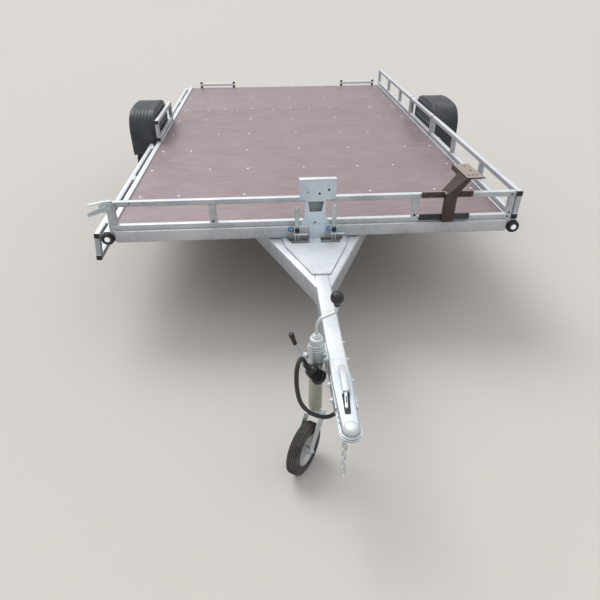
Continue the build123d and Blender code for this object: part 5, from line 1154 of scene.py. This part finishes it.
# The winch plate is cut from 5 mm sheet, with a folded lip on top and a folded foot that is
# bolted to the front beam. A ridged grey pad shows in its window, and plugs close its holes.
winch_zinc = galvanised("winch_zinc", (0.80, 0.885, 0.93), (0.60, 0.68, 0.74), 260.0, 0.83)
refinished(winch_zinc, "winch_plate")
lip = bar(29, 5.6, 2.4, (-69.5, 8.2, 780), (97.5, 8.2, 780), 1.2)
piece("winch_plate_lip", "bed", [lip], zinc_coat)
pad_grey = grainy("pad_grey", (0.31, 0.34, 0.36), (0.42, 0.45, 0.47), 0.5, 700.0, 0.0003)
pad_shells = [bar(84, 86, 2, (3, 14, 629), (3, 17, 629), 0.5)]
pad_shells += [bar(4, 3.2, 1.4, (-38, 13.4, z), (44, 13.4, z), 0.5) for z in np.arange(592, 671, 7.8)]
piece("winch_window_pad", "bed", pad_shells, pad_grey)
plug = [(5.3, 1), (5.3, -2.2), (4.4, -3.2), (2.0, -3.6), (0.5, -3.6)]
plugs = [spun(plug, (x, -1.0, z), (0, 1, 0), 20) for x, z in ((22, 714), (64, 731))]
plugs += [spun([(3.2, 0), (3.2, 0.9), (2.4, 1.4), (0.5, 1.5)], (-30, -5, 722), (0, -1, 0), 16),
          spun([(4.5, 0), (4.5, 0.8), (3.4, 1.4), (0.5, 1.5)], (2, -5, 574), (0, -1, 0), 16)]
piece("winch_plate_plugs", "bed", plugs, cap_plastic)
winch_bolts = bolts([(-14, -20, 530), (36, -20, 530)], (0, -1, 0), 7)
piece("winch_plate_bolts", "bed", winch_bolts, winch_zinc)

# Two over-centre latches hold the bed down: a blue zinc plated base on the beam, a channel shaped
# hand lever with two bright bolts, a black foot, a cross bar and a wire bail that hooks under the
# drawbar's catch.
latch_zinc = galvanised("latch_zinc", (0.76, 0.83, 0.80), (0.54, 0.61, 0.59), 420.0, 0.82)
blue_zinc = galvanised("blue_zinc", (0.34, 0.50, 0.78), (0.14, 0.24, 0.46), 420.0, 0.78)
lever_shells, base_shells, foot_shells, bright_shells = [], [], [], []
for x, top, base_x in ((-83.0, 665.0, -111.0), (88.0, 674.0, 68.0)):
    lever_shells.append(bar(18, 2.4, 1, (x, -32, 552), (x, -32, top), 1))
    for out in (-1, 1):
        flange_x, cheek_x = x + out * 9.2, x + out * 12.4
        lever_shells += [bar(2.2, 7, 1, (flange_x, -34.6, 550), (flange_x, -34.6, top - 3), 1),
                         bar(3, 30, 1.2, (cheek_x, -30, 528), (cheek_x, -30, 562), 1)]
    bail = bent([(x - 6, -42, 545), (x - 8, -46, 530), (x - 9, -46, 476),
                 (x + 7, -46, 476), (x + 6, -46, 530), (x + 6, -42, 545)], 5.0)
    lever_shells.append(wire(bail, 2.8, (0, 1, 0), 12))
    base_shells += [bar(26, 25, 4, (base_x, -21, 549), (base_x, -15, 549), 1.5),
                    spun([(7, 0), (8, 1), (8, 9), (6, 11)], (base_x + 2, -20, 550), (0, -1, 0), 20)]
    foot_shells.append(bar(22, 20, 3, (x, -36, 541), (x, -36, 557), 1.5))
    bright_shells.append(spun([(3, -17), (3.6, -16), (3.6, 48), (3, 49)], (x, -43, 532), (1, 0, 0), 16))
    bright_shells += hex_bolt((x, -33, top - 8), (0, -1, 0), 5.2) + hex_bolt((x, -33, 572), (0, -1, 0), 4.8)
piece("bed_latch_levers", "bed", lever_shells, latch_zinc, ["bed_latches"])
piece("bed_latch_blue_ends", "bed", base_shells, blue_zinc)
piece("bed_latch_feet", "bed", foot_shells, cap_plastic)
piece("bed_latch_bolts", "bed", bright_shells, bolt_zinc)

# The spare wheel bracket is welded from dark brown primed steel and clamped round the front
# rail: two bars, an upright tube, an arm that leans outwards, and a flat head over the bed whose
# inner edge is folded down. What faces up is lighter.
BRACKET_X = 621.5
primer = grainy("brown_primer", (0.056, 0.036, 0.031), (0.088, 0.060, 0.051), 0.62, 700.0, 0.0004)
primer_tint = primer.node_tree.nodes["Principled BSDF"].inputs["Base Color"].links[0].from_socket
primer_normal = node(primer, "TexCoord").outputs["Normal"]
primer_facing = node(primer, "SeparateXYZ", {"Vector": primer_normal}).outputs["Z"]
# Faces that look up are mixed towards a pale brown, so they are lighter than the sides.
lighter_top_share = mapped(primer, primer_facing, 0.0, 1.0, (0.8, 0.97))
coat(primer, {"Base Color": mixed(primer, lighter_top_share, primer_tint, (0.37, 0.30, 0.27, 1.0))})


def four_sided(a, b, c, d):
    """A rounded square stretched to four corners: each of its points, with u and v from -1 to 1,
    is the corners' mean weighed by 1 - u or 1 + u and by 1 - v or 1 + v."""
    u, v = rounded(2.0, 2.0, 0.16).T[:, :, None]
    a, b, c, d = np.array((a, b, c, d), float)
    return ((1 - u) * (1 - v) * a + (1 + u) * (1 - v) * b + (1 + u) * (1 + v) * c + (1 - u) * (1 + v) * d) / 4


foot_left, foot_right = BRACKET_X - 27, BRACKET_X + 27
arm_rings = []
for z, rear in ((690, -7), (699, -7), (700, 34)):
    arm_rings.append(four_sided((foot_left, -36, z), (foot_right, -36, z), (foot_right, rear, z),
                                (foot_left, rear, z)))
arm_rings.append(four_sided((668, -60, 786), (692, -60, 786), (692, 40, 786), (663, 40, 786)))
head = np.array([(667.0, -62.0), (748.0, -60.0), (733.0, 126.0), (660.0, 130.0)])
bracket_shells = [bar(9, 27, 1.5, (492, -4.5, 694.5), (731, -4.5, 694.5)),
                  bar(54, 27, 3, (BRACKET_X, -21.5, 570), (BRACKET_X, -21.5, 708)), skin(arm_rings),
                  carried(head, (0, 0, 785), (0, 0, 791), 1.0),
                  bar(5, 24, 1.5, (662, 130, 776), (669, -61, 776)),
                  bead((foot_left, -34, 702), (foot_left, -9, 702), 2.6, (-1, 0, 0)),
                  bead((foot_right, -34, 702), (foot_right, -9, 702), 2.6, (1, 0, 0)),
                  bead((600, -10, 680.5), (643, -10, 680.5), 2.6, (0, -1, 0))]
piece("spare_wheel_bracket_steel", "bed", bracket_shells, primer, ["spare_wheel_bracket"])
lower_bar = [bar(10, 28, 1.5, (492, -5, 584), (731, -5, 584))]
piece("bracket_lower_bar", "bed", lower_bar, slot_dark)
bracket_bolts = bolts([(505, -9, 694), (720, -9, 694)], (0, -1, 0), 6)
piece("bracket_bolts", "bed", bracket_bolts, primer)
head_plugs = [spun([(5.0, 0), (5.0, 0.8), (3.8, 1.4), (0.5, 1.5)], (x, y, 791), steps=20)
              for x, y in ((684, -28), (703, -27), (722, -26), (713, 30), (706, 96))]
piece("bracket_hole_plugs", "bed", head_plugs, cap_plastic)

# The corner latch at the left end of the front rail catches the side board when it stands up: a
# folded strip above, a thick body with its pivot bolt, and a channel shaped lever below. The
# lever's flanges and a thin skin on the strip's top are in brighter zinc: a painted highlight.
latch_body = np.array([(-899, 707), (-940, 706), (-960, 690), (-946, 658), (-915, 664), (-899, 674)])
lever_web = np.array([(-918, 694), (-1014, 661), (-1009, 646), (-920, 674)])
corner_shells = [bar(14, 30, 2, (-939, -7, 683), (-895, -7, 683)),
                 bar(5, 19, 1.5, (-900, -3.5, 690), (-833, -3.5, 690)),
                 bar(24, 4, 1.5, (-1007, -13, 692), (-934, -13, 707)),
                 bar(24, 4, 1.5, (-937, -13, 708), (-897, -13, 711)),
                 carried(latch_body, (0, -14, 0), (0, -27, 0), 2.5),
                 carried(lever_web, (0, -27, 0), (0, -30, 0), 0.8)]
corner_shells += hex_bolt((-914, -30, 682), (0, -1, 0), 8) + hex_bolt((-940, -30, 668), (0, -1, 0), 5)
corner_shells += hex_bolt((-850, -6, 690), (0, -1, 0), 5)
# Painted highlight: the lever's flanges and a 1.2 mm skin on the folded strip's top take the brighter bolt
# zinc.
corner_highlights = [bar(9, 3, 1, (-1010, -31, 645), (-921, -31, 674)),
                bar(9, 3, 1, (-1015, -31, 661), (-919, -31, 694)),
                bar(24, 1.2, 0.5, (-1007, -13, 694.6), (-934, -13, 709.6))]
piece("corner_latch_painted_highlights", "bed", corner_highlights, bolt_zinc)
piece("corner_latch_strips", "bed", corner_shells, latch_zinc, ["corner_latch"])
